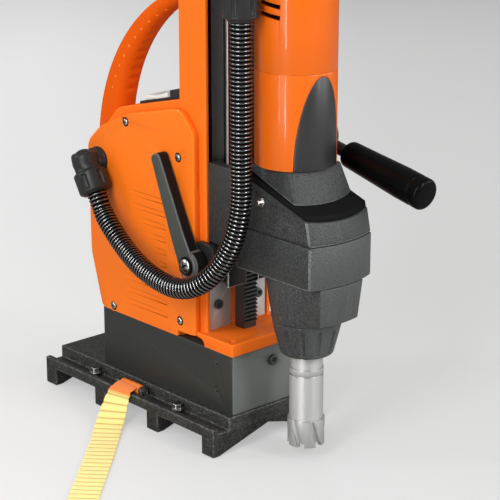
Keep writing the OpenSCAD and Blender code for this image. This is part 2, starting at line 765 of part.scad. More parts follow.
// Recess over the magnet that runs from the near cover into the deck's side
module foot_recess() {
    x0 = upright_x0 + 1.3;
    x1 = upright_x1 + 11;
    slab_xz(rounded([
        [x0, magnet_z1 - 1], [x0, foot_z1 - 4.5], [upright_x1, foot_z1 - 2.5], [x1, foot_z1 - 3.5],
        [x1, magnet_z1 - 1]
    ], [0, 1.5, 0, 6, 0]), -foot_w / 2 - 2, -foot_w / 2 + 14);
}

module right_cover() {
    color("#f77a1c") difference() {
        mirror([0, 1, 0]) side_cover();
        rod_y(lever_x, lever_z, lever_hub_r + pass_gap, -body_w / 2 - cover_t - 1, -body_w / 2 + 1);
        foot_recess();
    }
}

module left_cover() {
    color("#f77a1c") side_cover();
}

module cover_screws() {
    y1 = body_w / 2 + cover_t;
    color("silver") both_sides() for (p = cover_screw_places) {
        rod_y(p[0], p[1], cover_screw_head_r, y1 - 2.5, y1);
        rod_y(p[0], p[1], cover_screw_r, body_w / 2 - 11, y1 - 2.5);
    }
}

scallops = 10;
scallop_first = 127;
scallop_step = 3.9;
scallop_r = 5.6;
scallop_d = 1.2;

// Part of a ring round a centre in X and Z, with each corner of its section rounded
module arch_ring(x, z, r0, r1, first, sweep, corners) {
    translate([x, 0, z]) rotate([90, 0, 0]) rotate([0, 0, first]) rotate_extrude(angle = sweep)
        polygon(rounded(rect([r0, -arch_w / 2], [r1, arch_w / 2]), corners));
}

module handle_arch() {
    scallop_ring = arch_inner_r + scallop_d - scallop_r;
    color("#ee5f0e") difference() {
        intersection() {
            arch_ring(arch_x, arch_z, arch_inner_r - 30, arch_r, 90, 100, [0, arch_corner, arch_corner, 0]);
            arch_ring(arch_inner_x, arch_inner_z, arch_inner_r, arch_r + 40, 80, 120,
                [arch_inner_corner, 0, 0, arch_inner_corner]);
        }
        block([upright_x0, -arch_w, foot_z1], [upright_x0 + 60, arch_w, upright_z1]);
        slab_xz(body_outline(0, 0), -arch_w, arch_w);
        for (i = [0:scallops - 1]) let (a = scallop_first + scallop_step * i)
            rod_y(arch_inner_x + scallop_ring * cos(a), arch_inner_z + scallop_ring * sin(a), scallop_r,
                -arch_w, arch_w);
    }
}

// Places on the control panel, seen along its slope
module on_panel() {
    translate([panel_x, 0, body_top(panel_x)]) rotate([0, -body_top_slope, 0]) children();
}

switch_lo = [-26, -29];
switch_hi = [7, -3];
switch_h = 8;
switch_hollow_r = 75;
pod_x = 12;
pod_h = 9;
button_x = 24;
button_ys = [-14, 14];
button_r = 8;
button_travel = 3;

// Base plate with a well for the rocker and a pod for the two buttons
module control_panel() {
    play = 1;
    half = panel_w / 2;
    color("#1d1d1f") on_panel() difference() {
        union() {
            post(rounded(rect([-panel_l / 2, -half], [panel_l / 2, half]), [3, 3, 3, 3]), 0, panel_t);
            post(rounded(rect([pod_x, -half], [panel_l / 2, half]), [2, 3, 3, 2]), 0, pod_h);
        }
        block([switch_lo[0] - play, switch_lo[1] - play, 1],
            [switch_hi[0] + play, switch_hi[1] + play, panel_t + 1]);
        for (y = button_ys) translate([button_x, y, 1]) cylinder(r = button_r + pass_gap, h = pod_h);
    }
}

// A rocker that stands on its pivot, with a hollowed top
module magnet_switch() {
    mid = (switch_lo[0] + switch_hi[0]) / 2;
    color("#b9bcbd") on_panel() difference() {
        union() {
            block([switch_lo[0], switch_lo[1], switch_pivot_z], [switch_hi[0], switch_hi[1], switch_h]);
            rod_y(mid, switch_pivot_z, switch_pivot_r, switch_lo[1], switch_hi[1]);
        }
        rod_y(mid, switch_h + switch_hollow_r - 2, switch_hollow_r, switch_lo[1] - 1, switch_hi[1] + 1,
            $fn = 256);
    }
}

switch_pivot_r = 1.2;
switch_pivot_z = 1 + switch_pivot_r + 0.3;

module push_button(y) {
    on_panel() translate([button_x, y, 1 + button_travel + 0.3]) cylinder(r = button_r, h = pod_h - 2.3);
}

module start_button() {
    color("seagreen") push_button(button_ys[0]);
}

module stop_button() {
    color("firebrick") push_button(button_ys[1]);
}

module column_rail() {
    half = rail_w / 2;
    groove = rack_w / 2;
    color("#38393b") post([
        [upright_x1, -half], [rail_base_x, -half], [neck_x, -neck_half], [lip_x, -half], [rail_x1, -half],
        [rail_x1, -groove], [neck_x, -groove], [neck_x, groove], [rail_x1, groove],
        [rail_x1, half], [lip_x, half], [neck_x, neck_half], [rail_base_x, half], [upright_x1, half]
    ], rail_z0, rail_z1);
}

module feed_rack() {
    color("gray") slab_xz(rack_points(deck_z, rail_z1 - 1, pinion_z), -rack_w / 2 + 0.1, rack_w / 2 - 0.1);
}

rail_foot_y0 = 8.5;
rail_foot_y1 = body_w / 2 - cheek_t - 0.3;
rail_foot_z1 = rail_z0 - 2;
rail_foot_x1 = upright_x1 + 7;
rail_foot_screw = [(rail_foot_y0 + rail_foot_y1) / 2 + 3, foot_z1 + 27];

module rail_feet() {
    color("silver") both_sides() difference() {
        block([upright_x1, rail_foot_y0, deck_z], [rail_foot_x1, rail_foot_y1, rail_foot_z1]);
        rod_x(rail_foot_screw[0], rail_foot_screw[1], 3 + shaft_play, upright_x1 - 1, rail_foot_x1 + 1);
    }
}

module rail_foot_screws() {
    color("#4a4b4d") both_sides() difference() {
        union() {
            rod_x(rail_foot_screw[0], rail_foot_screw[1], 3, upright_x1, rail_foot_x1);
            rod_x(rail_foot_screw[0], rail_foot_screw[1], 4.6, rail_foot_x1, rail_foot_x1 + 3);
        }
        translate([rail_foot_x1 + 1, rail_foot_screw[0], rail_foot_screw[1]]) rotate([0, 90, 0])
            cylinder(r = 2.6, h = 3, $fn = 6);
    }
}

module column_cap() {
    half = body_w / 2;
    color("#1d1d1f")
        post(rounded(rect([upright_x0, -half], [rail_x1 + 2, half]), [6, 6, 6, 6]), upright_z1, upright_z1 + 10);
}

module clamp_plate() {
    half = body_w / 2;
    color("#1d1d1f") difference() {
        slab_xz(rounded(rect([lever_x - 4, lever_z - 19], [cheek_x1 + 17, lever_z + 20]), [4, 8, 8, 4]),
            -half - 6.5, -half);
        rod_y(lever_x, lever_z, lever_hub_r + pass_gap, -half - 8, -half + 1);
        slab_xz(rect([lever_x - 20, lever_z - 30], [cover_x1 + 0.4, lever_z + 30]), -half - 8, -half + 1);
    }
}

module clamp_lever() {
    color("#161618") difference() {
        union() {
            rod_y(lever_x, lever_z, lever_hub_r, lever_y0 + 1, -body_w / 2 - pass_gap);
            translate([lever_x, 0, lever_z]) rotate([0, -lever_lean, 0])
                slab_xz(rounded([
                    [-13, -10], [10, -10], [6, 30], [3, lever_l], [-9.5, lever_l], [-13, 30]
                ], [10, 9, 40, 5.5, 5.5, 40]), lever_y0, lever_y0 + lever_t);
        }
        rod_y(lever_x, lever_z, lever_screw_r + shaft_play, lever_y0 - 1, 0);
    }
}

module lever_screw() {
    color("silver") {
        rod_y(lever_x, lever_z, lever_screw_r, lever_y0, -body_w / 2 + cheek_t - 0.2);
        rod_y(lever_x, lever_z, 7.5, lever_y0 - 3, lever_y0);
    }
}

// Room that the rail takes inside the carriage, with the gib's seat on the far side
module rail_room() {
    half = rail_w / 2 + slide_play;
    post([
        [rail_base_x, -half], [neck_x, -neck_half - slide_play], [lip_x, -half],
        [rail_x1 + slide_play, -half],
        [rail_x1 + slide_play, half + gib_t + 0.2], [lip_x, half + gib_t + 0.2],
        [neck_x, neck_half + slide_play + gib_t + 0.2], [rail_base_x, half + gib_t + 0.2]
    ], carriage_z0 - 1, carriage_z1 + 1);
}

gib_screw_x = (neck_x + lip_x) / 2;
gib_screw_zs = [for (i = [0:2]) carriage_z0 + carriage_h * (0.2 + 0.3 * i)];
gib_screw_y0 = (rail_w / 2 + neck_half) / 2 + slide_play + gib_t + 2.2;

module carriage() {
    half = carriage_w / 2;
    color("#4b4e50") difference() {
        union() {
            block([carriage_x0, -half, carriage_z0], [carriage_x1, half, carriage_z1]);
            block([rail_x1 + slide_play, tower_y0, carriage_z1 - 1], [carriage_x1, tower_y1, tower_z1]);
        }
        rail_room();
        rod_y(pinion_x, pinion_z, pinion_tip_r + pass_gap, -rack_w / 2, rack_w / 2);
        rod_y(pinion_x, pinion_z, pinion_shaft_r + shaft_play, tower_y0 - 1, tower_y1 + 1);
        for (z = gib_screw_zs) rod_y(gib_screw_x, z, 3 + shaft_play, neck_half, half + 1);
    }
}

module gib_strip() {
    half = rail_w / 2 + slide_play;
    color("darkgoldenrod") post([
        [neck_x, neck_half + slide_play], [lip_x, half], [lip_x, half + gib_t],
        [neck_x, neck_half + slide_play + gib_t]
    ], carriage_z0 + 1, carriage_z1 - 1);
}

module gib_screws() {
    color("#4a4b4d") for (z = gib_screw_zs) difference() {
        rod_y(gib_screw_x, z, 3, gib_screw_y0, carriage_w / 2);
        translate([gib_screw_x, carriage_w / 2 - 3, z]) rotate([-90, 0, 0]) cylinder(r = 1.8, h = 4, $fn = 6);
    }
}

module feed_pinion() {
    color("gray") {
        rod_y(pinion_x, pinion_z, pinion_shaft_r, tower_y0, hub_y0 + hub_l - 6);
        translate([pinion_x, rack_w / 2 - 0.5, pinion_z]) rotate([90, 0, 0]) linear_extrude(rack_w - 1)
            rotate(180)
                polygon(gear_points(rack_m, pinion_n, pinion_tip_r, rack_m * (pinion_n / 2 - 1), 0.28));
    }
}

// Turns a shape that points along X so that it points along one spoke
module along_spoke(a) {
    translate([pinion_x, spoke_y, pinion_z]) rotate([0, -a, 0]) children();
}

module capstan_hub() {
    color("#19191b") difference() {
        translate([pinion_x, hub_y0, pinion_z]) rotate([-90, 0, 0]) rotate_extrude()
            polygon(rounded([[0, 0], [hub_r - 4, 0], [hub_r, 12], [hub_r, hub_l], [0, hub_l]],
                [0, 2, 12, 5, 0]));
        rod_y(pinion_x, pinion_z, pinion_shaft_r + shaft_play, hub_y0 - 1, hub_y0 + hub_l - 6);
        for (a = spoke_angles) along_spoke(a)
            rod_x(0, 0, spoke_r + shaft_play, pinion_shaft_r + 2, hub_r + 1);
    }
}

module capstan_spokes() {
    color("silver") for (a = spoke_angles) along_spoke(a)
        rod_x(0, 0, spoke_r, pinion_shaft_r + 3, grip_start + 30);
}

module capstan_grips() {
    end = grip_start + grip_l;
    color("#141416") for (a = spoke_angles) along_spoke(a) difference() {
        rotate([0, 90, 0]) rotate_extrude() polygon(rounded([
            [0, grip_start], [grip_r - 2.5, grip_start], [grip_r - 1.5, grip_start + 30], [grip_r, end - 30],
            [grip_r, end - 13], [grip_r - 0.9, end - 12], [grip_r - 0.9, end - 10.5], [grip_r, end - 9.5],
            [grip_r, end], [0, end]
        ], [0, 4, 60, 60, 0.6, 0.6, 0.6, 0.6, 4, 0]));
        rod_x(0, 0, spoke_r + shaft_play, grip_start - 1, grip_start + 30.5);
    }
}

head_lean = 0.2;

// Block with a bulging front, s smaller all round, whose front leans back as it rises
module head_block(z0, z1, s, lean) {
    intersection() {
        block([carriage_x1, -head_w / 2 + s, z0], [head_x1 + 5, head_w / 2 - s, z1]);
        translate([head_x1 - head_front_r, 0, z0])
            cylinder(r1 = head_front_r - s, r2 = head_front_r - s - lean * (z1 - z0), h = z1 - z0);
    }
}

// Everything below the gear head's sloped top, raised by up
module below_head_top(up) {
    far = head_x1 + 10;
    slab_xz([
        [carriage_x1 - 1, head_z0], [far, head_z0], [far, head_top(far) + up],
        [carriage_x1 - 1, head_top(carriage_x1 - 1) + up]
    ], -head_w, head_w);
}

module head_upper() {
    color("#4d5052") difference() {
        intersection() {
            head_block(head_z1, carriage_z1 + 2, 0.5, head_lean);
            below_head_top(0);
        }
        rod_z(motor_x, armature_r + 1, head_z1 - 1, carriage_z1);
        rod_z(motor_x, armature_bearing_r + shaft_play, armature_bearing_z0, carriage_z1);
        rod_z(spindle_x, upper_bearing_r - 1.5, head_z1 - 1, head_z1 + 4);
        rod_y(nipple[0], nipple[1], 3 + shaft_play, -head_w, -head_w / 2 + 6);
    }
}

module head_lower() {
    color("#54585a") difference() {
        head_block(head_z0, head_z1, 0, 0);
        rod_z(spindle_x, gear_m * (spindle_n / 2 + 1) + 1, gear_z0 - 1, gear_z1);
        rod_z(motor_x, gear_m * (armature_n / 2 + 1) + 1.5, gear_z0 - 1, gear_z1);
        rod_z(motor_x, armature_r + 0.5, gear_z1 - 1, head_z1 + 1);
        rod_z(spindle_x, spindle_r + 0.6, head_z0 - 1, gear_z0);
        rod_z(spindle_x, upper_bearing_r + shaft_play, gear_z1 - 1, upper_bearing_z + bearing_t);
        rod_z(spindle_x, upper_bearing_r - 1.5, upper_bearing_z, head_z1 + 1);
    }
}

module head_seal() {
    color("#121213") difference() {
        intersection() {
            head_block(head_z1, motor_z0, 1.5, head_lean);
            difference() {
                below_head_top(seal_t);
                below_head_top(0);
            }
        }
        rod_z(motor_x, armature_bearing_r + 1, head_z1, motor_z0 + 1);
    }
}

neck_half_w = motor_r - 6;
neck_flare = 5;
neck_lean = 0.4;

module motor_neck() {
    top_r = head_front_r - 12;
    rise = motor_z0 - head_z1;
    color("#55585a") difference() {
        intersection() {
            slab_yz([
                [-neck_half_w - 2 * neck_flare, head_z1], [neck_half_w + 2 * neck_flare, head_z1],
                [neck_half_w, motor_z0], [-neck_half_w, motor_z0]
            ], carriage_x1 + 0.5, head_x1);
            translate([motor_x + motor_r - 5 - top_r, 0, head_z1])
                cylinder(r1 = top_r + neck_lean * rise, r2 = top_r, h = rise);
        }
        below_head_top(seal_t);
        rod_z(motor_x, armature_bearing_r + 1, head_z1 - 1, motor_z0 + 1);
    }
}

nose_block_half_w = 25.8;
nose_block_y = -1.8;
nose_block_taper = 2;
nose_block_z0 = nose_z0 + 6;

module nose_housing() {
    color("#505355") difference() {
        union() {
            translate([spindle_x, 0, nose_z0]) cylinder(r1 = cone_r, r2 = nose_r, h = nose_h);
            intersection() {
                translate([0, nose_block_y, 0]) slab_yz([
                    [nose_block_taper - nose_block_half_w, nose_block_z0],
                    [nose_block_half_w - nose_block_taper, nose_block_z0],
                    [nose_block_half_w, head_z0], [-nose_block_half_w, head_z0]
                ], spindle_x, head_x1);
                translate([head_x1 - head_front_r, 0, nose_z0])
                    cylinder(r1 = head_front_r - 5.3, r2 = head_front_r - 0.3, h = nose_h);
            }
        }
        rod_z(spindle_x, spindle_r + 2, nose_z0 - 1, head_z0 + 1);
        rod_z(spindle_x, lower_bearing_r + shaft_play, lower_bearing_z, head_z0 + 1);
    }
}

module nose_cone() {
    color("#484b4d") difference() {
        translate([spindle_x, 0, cone_z0]) rotate_extrude() polygon(rounded([
            [spindle_r + 2, 0], [cone_mouth_r, 0], [cone_r - 1, cone_h - 6], [cone_r, cone_h],
            [spindle_r + 2, cone_h]
        ], [0, 3, 8, 0, 0]));
        for (i = [0:11]) translate([spindle_x, 0, cone_z0]) rotate([0, 0, 30 * i + 8])
            translate([cone_mouth_r + 1.6, 0, 3])
                rotate([0, atan((cone_r - 1 - cone_mouth_r) / (cone_h - 6)), 0])
                cylinder(r = 2, h = cone_h - 8);
    }
}

nipple = [motor_x - 2, carriage_z1 - 22.5];

module coolant_nipple() {
    face = -head_w / 2 + 0.5;
    color("#c8b48a") {
        rod_y(nipple[0], nipple[1], 3, face - 1, face + 5);
        translate([nipple[0], face, nipple[1]]) rotate([90, 0, 0]) cylinder(r = 5, h = 3, $fn = 6);
        translate([nipple[0], face - 3, nipple[1]]) rotate([90, 0, 0]) cylinder(r1 = 3.6, r2 = 2.8, h = 4);
    }
}

// Outline of the arched insert, an ellipse quarter on each side, s narrower all round
function arch_outline(s) =
    let (top = motor_lower_h - 2.2 - s, half = insert_half_w - s)
    [[-half, motor_z0], [half, motor_z0],
        for (i = [0:20]) [half * cos(9 * i), motor_z0 + 0.1 + top * sin(9 * i)]];

insert_d = 1.6;
insert_turn = -4;

module turned_insert() {
    translate([motor_x, 0, 0]) rotate([0, 0, insert_turn]) children();
}

module motor_lower() {
    color("#f7761a") difference() {
        rod_z(motor_x, motor_r, motor_z0, motor_z1);
        rod_z(motor_x, motor_r - motor_wall, motor_z0 + 3, motor_z1 + 1);
        rod_z(motor_x, armature_bearing_r + 1, motor_z0 - 1, motor_z0 + 4);
        difference() {
            turned_insert() slab_yz(arch_outline(0), 0, motor_r + 1);
            rod_z(motor_x, motor_r - insert_d, motor_z0 - 1, motor_z1 + 1);
        }
    }
}

module motor_insert() {
    color("#6a6d6f") intersection() {
        turned_insert() slab_yz(arch_outline(0.3), 0, motor_r + 1);
        ring_z(motor_x, motor_r, motor_r - insert_d + shaft_play, motor_z0, motor_z1);
    }
}

bridge_t = 6;
slot_tilt = 8;

module motor_upper() {
    inner = motor_r - motor_wall;
    bearing_top = armature_bearing_z1 + bearing_t;
    color("#f7761a") difference() {
        union() {
            ring_z(motor_x, motor_r, inner, motor_z1, motor_z2);
            ring_z(motor_x, inner + 1, armature_r + 2, bearing_top, bearing_top + bridge_t);
            ring_z(motor_x, armature_bearing_r + 4, armature_bearing_r + shaft_play, armature_bearing_z1,
                bearing_top + 1);
            intersection() {
                rod_y(top_x, top_z + 32, 15, -motor_r - 1, -motor_r + 12);
                ring_z(motor_x, motor_r + 10, inner + 1, motor_z1, motor_z2);
            }
        }
        for (i = [0:1]) translate([motor_x - 8, -motor_r - 2, top_z + 6 + 9.5 * i]) rotate([0, slot_tilt, 0])
            block([0, 0, -2], [23, motor_wall + 8, 2]);
    }
}

module motor_cap() {
    color("#1b1b1d") difference() {
        translate([motor_x, 0, motor_z2]) rotate_extrude() polygon(rounded([
            [0, 0], [motor_r, 0], [motor_r - 1, motor_cap_h * 0.55], [motor_r - 9, motor_cap_h],
            [0, motor_cap_h]
        ], [0, 0, 10, 8, 0]));
        for (i = [0:11]) translate([motor_x, 0, motor_z2 + 5]) rotate([0, 0, 30 * i])
            block([motor_r - 5, -2, 0], [motor_r + 2, 2, motor_cap_h * 0.4]);
    }
}

stator_z0 = motor_z0 + 23;
stator_h = 52;
rotor_r = 23;

module stator() {
    color("#8a8d90")
        ring_z(motor_x, motor_r - motor_wall - 0.2, rotor_r + 0.8, stator_z0, stator_z0 + stator_h);
}

module armature() {
    mesh = 180 / armature_n;
    color("#9a6a45") {
        rod_z(motor_x, armature_r, gear_z1 - 2, armature_bearing_z1 + bearing_t);
        translate([motor_x, 0, gear_z0]) linear_extrude(gear_z1 - gear_z0 - 1) rotate(mesh)
            polygon(gear_points(gear_m, armature_n, gear_m * (armature_n / 2 + 0.85),
                gear_m * (armature_n / 2 - 1.2), 0.3));
        difference() {
            rod_z(motor_x, rotor_r, stator_z0 + 2, stator_z0 + stator_h - 2);
            for (i = [0:11]) translate([motor_x, 0, stator_z0]) rotate([0, 0, 30 * i])
                block([rotor_r - 4, -1.2, 0], [rotor_r + 1, 1.2, stator_h]);
        }
        rod_z(motor_x, 11, motor_z1 + 6, motor_z1 + 24);
    }
}

module motor_fan() {
    z0 = motor_z0 + 8;
    reach = motor_r - motor_wall - 3;
    color("#2a2a2c") difference() {
        union() {
            rod_z(motor_x, reach, z0, z0 + 1.6);
            rod_z(motor_x, 9, z0, z0 + 11);
            for (i = [0:8]) translate([motor_x, 0, z0 + 1]) rotate([0, 0, 40 * i])
                block([7, -0.9, 0], [reach, 0.9, 10]);
        }
        rod_z(motor_x, armature_r + shaft_play, z0 - 1, z0 + 12);
    }
}

module armature_bearings() {
    color("silver") for (z = [armature_bearing_z0, armature_bearing_z1])
        ring_z(motor_x, armature_bearing_r, armature_r + shaft_play, z, z + bearing_t);
}

module spindle() {
    color("gainsboro") difference() {
        union() {
            rod_z(spindle_x, spindle_r + 1.4, spindle_z0, lower_bearing_z - 1);
            rod_z(spindle_x, spindle_r, lower_bearing_z - 2, gear_z0);
            rod_z(spindle_x, spindle_top_r, gear_z0 - 1, upper_bearing_z + bearing_t);
        }
        rod_z(spindle_x, shank_r + shaft_play, spindle_z0 - 1, spindle_z0 + 44);
    }
}

module spindle_gear() {
    color("#9b9ea1") translate([spindle_x, 0, gear_z0]) difference() {
        linear_extrude(gear_t) rotate(180)
            polygon(gear_points(gear_m, spindle_n, gear_m * (spindle_n / 2 + 0.85),
                gear_m * (spindle_n / 2 - 1.2), 0.3));
        translate([0, 0, -1]) cylinder(r = spindle_top_r + shaft_play, h = gear_t + 2);
    }
}

module spindle_bearings() {
    color("silver") {
        ring_z(spindle_x, lower_bearing_r, spindle_r + shaft_play, lower_bearing_z, lower_bearing_z + 12);
        ring_z(spindle_x, upper_bearing_r, spindle_top_r + shaft_play, upper_bearing_z,
            upper_bearing_z + bearing_t);
    }
}

tooth_z = 26;
tooth_out = 1.6;

module core_cutter() {
    tip_r = cutter_r + tooth_out;
    color("#b9bcbe") difference() {
        union() {
            rod_z(spindle_x, shank_r, cutter_z1, spindle_z0 + 42);
            rod_z(spindle_x, cutter_r - 0.8, cutter_z1, spindle_z0);
            rod_z(spindle_x, cutter_r, cutter_z0 + 4, cutter_z1 - 7);
            rod_z(spindle_x, cutter_r - 0.7, cutter_z1 - 8, cutter_z1 - 5);
            rod_z(spindle_x, cutter_r, cutter_z1 - 6, cutter_z1);
            rod_z(spindle_x, tip_r, cutter_z0, cutter_z0 + tooth_z);
        }
        rod_z(spindle_x, cutter_r - cutter_wall, cutter_z0 - 1, cutter_z1 - 6);
        rod_z(spindle_x, pilot_r + shaft_play, cutter_z0, spindle_z0 + 43);
        for (i = [0:cutter_n - 1]) translate([spindle_x, 0, cutter_z0]) rotate([0, 0, 360 / cutter_n * i]) {
            translate([tip_r, 0, -1]) rotate([18, 0, 0]) block([-2.4, -2.6, -2], [4, 2.6, cutter_l * 0.62]);
            block([cutter_r - cutter_wall - 2, -1.6, -1], [tip_r + 1, 3.4, 4]);
        }
    }
}

module pilot_pin() {
    color("#8f9295") rod_z(spindle_x, pilot_r, cutter_z0 + 3, spindle_z0 + 41);
}

// Snap collar with two grip flats round the end of a conduit, opening along Z
module gland_collar(h) {
    difference() {
        rotate_extrude() polygon(rounded([
            [conduit_r + 0.4, 0], [gland_r, 0], [gland_r, h], [conduit_r + 0.4, h]
        ], [0, 3, 3, 0]));
        for (a = [0:60:300]) rotate([0, 0, a]) translate([gland_r + 1.2, 0, 4]) cylinder(r = 3, h = h - 8);
    }
}

module lower_elbow() {
    face = -body_w / 2 - cover_t;
    color("#17171a") {
        translate([elbow_x, 0, elbow_z]) {
            translate([0, face, 0]) rotate([90, 0, 0]) cylinder(r = gland_r - 3, h = 3);
            translate([0, face - 3, 0]) rotate([90, 0, 0]) cylinder(r = gland_r - 3, h = 5, $fn = 6);
            rod_y(0, 0, elbow_r - 2, elbow_y, face - 7);
            translate([0, elbow_y, 0]) sphere(r = elbow_r);
            translate([0, elbow_y, 0]) rotate([0, -elbow_tilt / 2, 0]) rotate_extrude() polygon(rounded([
                [0, 0], [elbow_r, 0], [elbow_r, 10], [0, 10]
            ], [0, 0, 4, 0]));
            translate([0, elbow_y, 0]) rotate([0, 180 - elbow_tilt, 0]) {
                cylinder(r = elbow_r - 0.4, h = elbow_l);
                translate([0, 0, elbow_l - 23]) gland_collar(22);
            }
        }
    }
}

module upper_elbow() {
    face = -motor_r - 1;
    color("#17171a") translate([top_x, 0, top_z]) {
        translate([0, top_y, 0]) cylinder(r = 12.4, h = 32);
        translate([0, top_y, 2]) gland_collar(24);
        translate([0, top_y, 32]) sphere(r = 13);
        rod_y(0, 32, 11, top_y, face - 9);
        translate([0, face - 4, 32]) rotate([90, 0, 0]) cylinder(r = gland_r - 2, h = 6, $fn = 6);
        translate([0, face, 32]) rotate([90, 0, 0]) cylinder(r = gland_r - 3, h = 4);
    }
}

// Hose with ribs outside and a plain bore
module conduit() {
    sides = 8;
    p = even(smooth(conduit_route, 6), 2 * conduit_ribs);
    n = len(p) - 1;
    bore_step = 8;
    bore_ids = [for (i = [0:bore_step:n - 1]) i, n];
    outside = [for (i = [0:n]) each ring(p, i, conduit_r - (i % 2 == 0 ? conduit_rib_d : 0), sides)];
    inside = [for (i = bore_ids) each ring(p, i, conduit_bore_r, sides)];
    first = (n + 1) * sides;
    last = first + (len(bore_ids) - 1) * sides;
    echo(conduit_length = lengths(p)[n]);
    color("#151517") polyhedron(concat(outside, inside), [for (f = concat(
        skin(n + 1, sides, 0, false), skin(len(bore_ids), sides, first, true),
        rim(0, first, sides, true), rim(n * sides, last, sides, false))) [f[2], f[1], f[0]]]);
}

saddle_base();
seat_bolts();
strap_bar();
strap_eye();
strap_run();
strap_roll();
ratchet_frame();
ratchet_spool();
ratchet_handle();
magnet_block();
magnet_coil();
magnet_plug();
stand_casting();
right_cover();
left_cover();
cover_screws();
handle_arch();
control_panel();
magnet_switch();
start_button();
stop_button();
column_rail();
feed_rack();
rail_feet();
rail_foot_screws();
column_cap();
clamp_plate();
clamp_lever();
lever_screw();
carriage();
gib_strip();
gib_screws();
feed_pinion();
capstan_hub();
capstan_spokes();
capstan_grips();
head_upper();
head_lower();
head_seal();
motor_neck();
nose_housing();
nose_cone();
coolant_nipple();
motor_lower();
motor_insert();
motor_upper();
motor_cap();
stator();
armature();
motor_fan();
armature_bearings();
spindle();
spindle_gear();
spindle_bearings();
core_cutter();
pilot_pin();
lower_elbow();
upper_elbow();
conduit();
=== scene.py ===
"""Dresses a drill stand on a pipe saddle: paint, castings, webbing, hose and steel."""
import json
import math
from itertools import accumulate

import bmesh
import bpy
from bpy.props import FloatProperty, FloatVectorProperty, IntProperty, PointerProperty
from mathutils import Matrix, Vector
from mathutils.bvhtree import BVHTree
from mathutils.geometry import delaunay_2d_cdt

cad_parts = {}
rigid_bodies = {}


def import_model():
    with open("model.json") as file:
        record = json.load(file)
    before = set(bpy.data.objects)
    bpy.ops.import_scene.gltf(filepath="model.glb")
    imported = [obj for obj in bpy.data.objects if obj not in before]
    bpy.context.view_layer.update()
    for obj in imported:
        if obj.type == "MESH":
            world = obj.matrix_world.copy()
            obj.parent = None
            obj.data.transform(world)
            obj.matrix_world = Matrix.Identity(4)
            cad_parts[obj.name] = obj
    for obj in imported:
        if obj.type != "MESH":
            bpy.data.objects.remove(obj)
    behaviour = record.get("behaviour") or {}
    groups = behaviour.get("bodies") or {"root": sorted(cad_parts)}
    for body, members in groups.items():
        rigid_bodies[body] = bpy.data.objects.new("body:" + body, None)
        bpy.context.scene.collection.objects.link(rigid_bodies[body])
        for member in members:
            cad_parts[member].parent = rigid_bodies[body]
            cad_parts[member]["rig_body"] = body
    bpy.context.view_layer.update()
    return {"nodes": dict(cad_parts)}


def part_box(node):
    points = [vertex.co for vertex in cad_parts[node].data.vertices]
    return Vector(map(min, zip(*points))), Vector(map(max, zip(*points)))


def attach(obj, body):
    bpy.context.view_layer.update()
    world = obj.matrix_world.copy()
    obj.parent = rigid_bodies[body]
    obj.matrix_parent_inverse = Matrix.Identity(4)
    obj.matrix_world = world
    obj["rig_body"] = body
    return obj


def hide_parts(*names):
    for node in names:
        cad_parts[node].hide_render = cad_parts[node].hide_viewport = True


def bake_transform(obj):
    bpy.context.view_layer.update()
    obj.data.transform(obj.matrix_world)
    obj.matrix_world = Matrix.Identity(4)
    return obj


bl_info = {
    "name": "Drill stand on a pipe saddle",
    "version": (1, 0, 0),
    "blender": (4, 5, 0),
    "location": "View3D > Sidebar > Drill stand",
    "description": "Builds the finished surfaces of a drill stand that straddles a pipe",
    "category": "Object",
}

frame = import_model()
MM = 0.001
WELD = 1e-6


def colour(name, description, value):
    """A colour that a user can change."""
    return FloatVectorProperty(name=name, description=description, subtype="COLOR", size=3, default=value,
                               min=0, max=1)


def length(name, description, value):
    """A length in metres that a user can change."""
    return FloatProperty(name=name, description=description, default=value, min=0, unit="LENGTH", precision=4)


class FinishColours(bpy.types.PropertyGroup):
    """Colours of the painted, moulded and woven surfaces."""

    casting: colour("Casting", "Paint of the stand casting", (0.83, 0.150, 0.010))
    # Darker and redder than the casting: the handle's paint holds painted shade.
    handle: colour("Handle", "Paint of the handle", (0.69, 0.093, 0.004))
    shell: colour("Covers", "Moulded side covers", (0.84, 0.165, 0.010))
    motor: colour("Motor", "Gloss shells of the motor", (0.70, 0.120, 0.004))
    saddle: colour("Saddle", "Textured paint of the saddle", (0.0205, 0.0205, 0.0195))
    head: colour("Gear head", "Textured gear head and carriage", (0.024, 0.0255, 0.025))
    black: colour("Black parts", "Satin black plates and mouldings", (0.016, 0.016, 0.016))
    webbing: colour("Webbing", "Woven strap", (0.93, 0.76, 0.26))
    fold: colour("Strap fold", "Sewn end of the strap", (0.80, 0.20, 0.03))
    steel: colour("Steel", "Bright steel", (0.55, 0.55, 0.54))


class PieceSizes(bpy.types.PropertyGroup):
    """Sizes of what is made here."""

    strap_width: length("Strap width", "Width of the webbing", 28 * MM)
    strap_thickness: length("Strap thickness", "Thickness of the webbing", 1.8 * MM)
    strap_rib: length("Strap rib", "Distance between the woven ribs", 8.4 * MM)
    hose_radius: length("Hose radius", "Outer radius of the ribbed hose", 9.9 * MM)
    hose_bore: length("Hose bore", "Inner radius of the ribbed hose", 6.4 * MM)
    hose_rib_depth: length("Hose rib depth", "Depth of the hose's ribs", 1.8 * MM)
    hose_ribs: IntProperty(name="Hose ribs", description="Ribs along the hose", default=116, min=2)
    handle_grid: length("Handle grid", "Grid on which the handle's facets are evened out", 0.9 * MM)
    pip_radius: length("Handle pip", "Radius of the pips on the handle", 1.35 * MM)
    pips: IntProperty(name="Handle pips", description="Pips on each side of the handle", default=10, min=1)


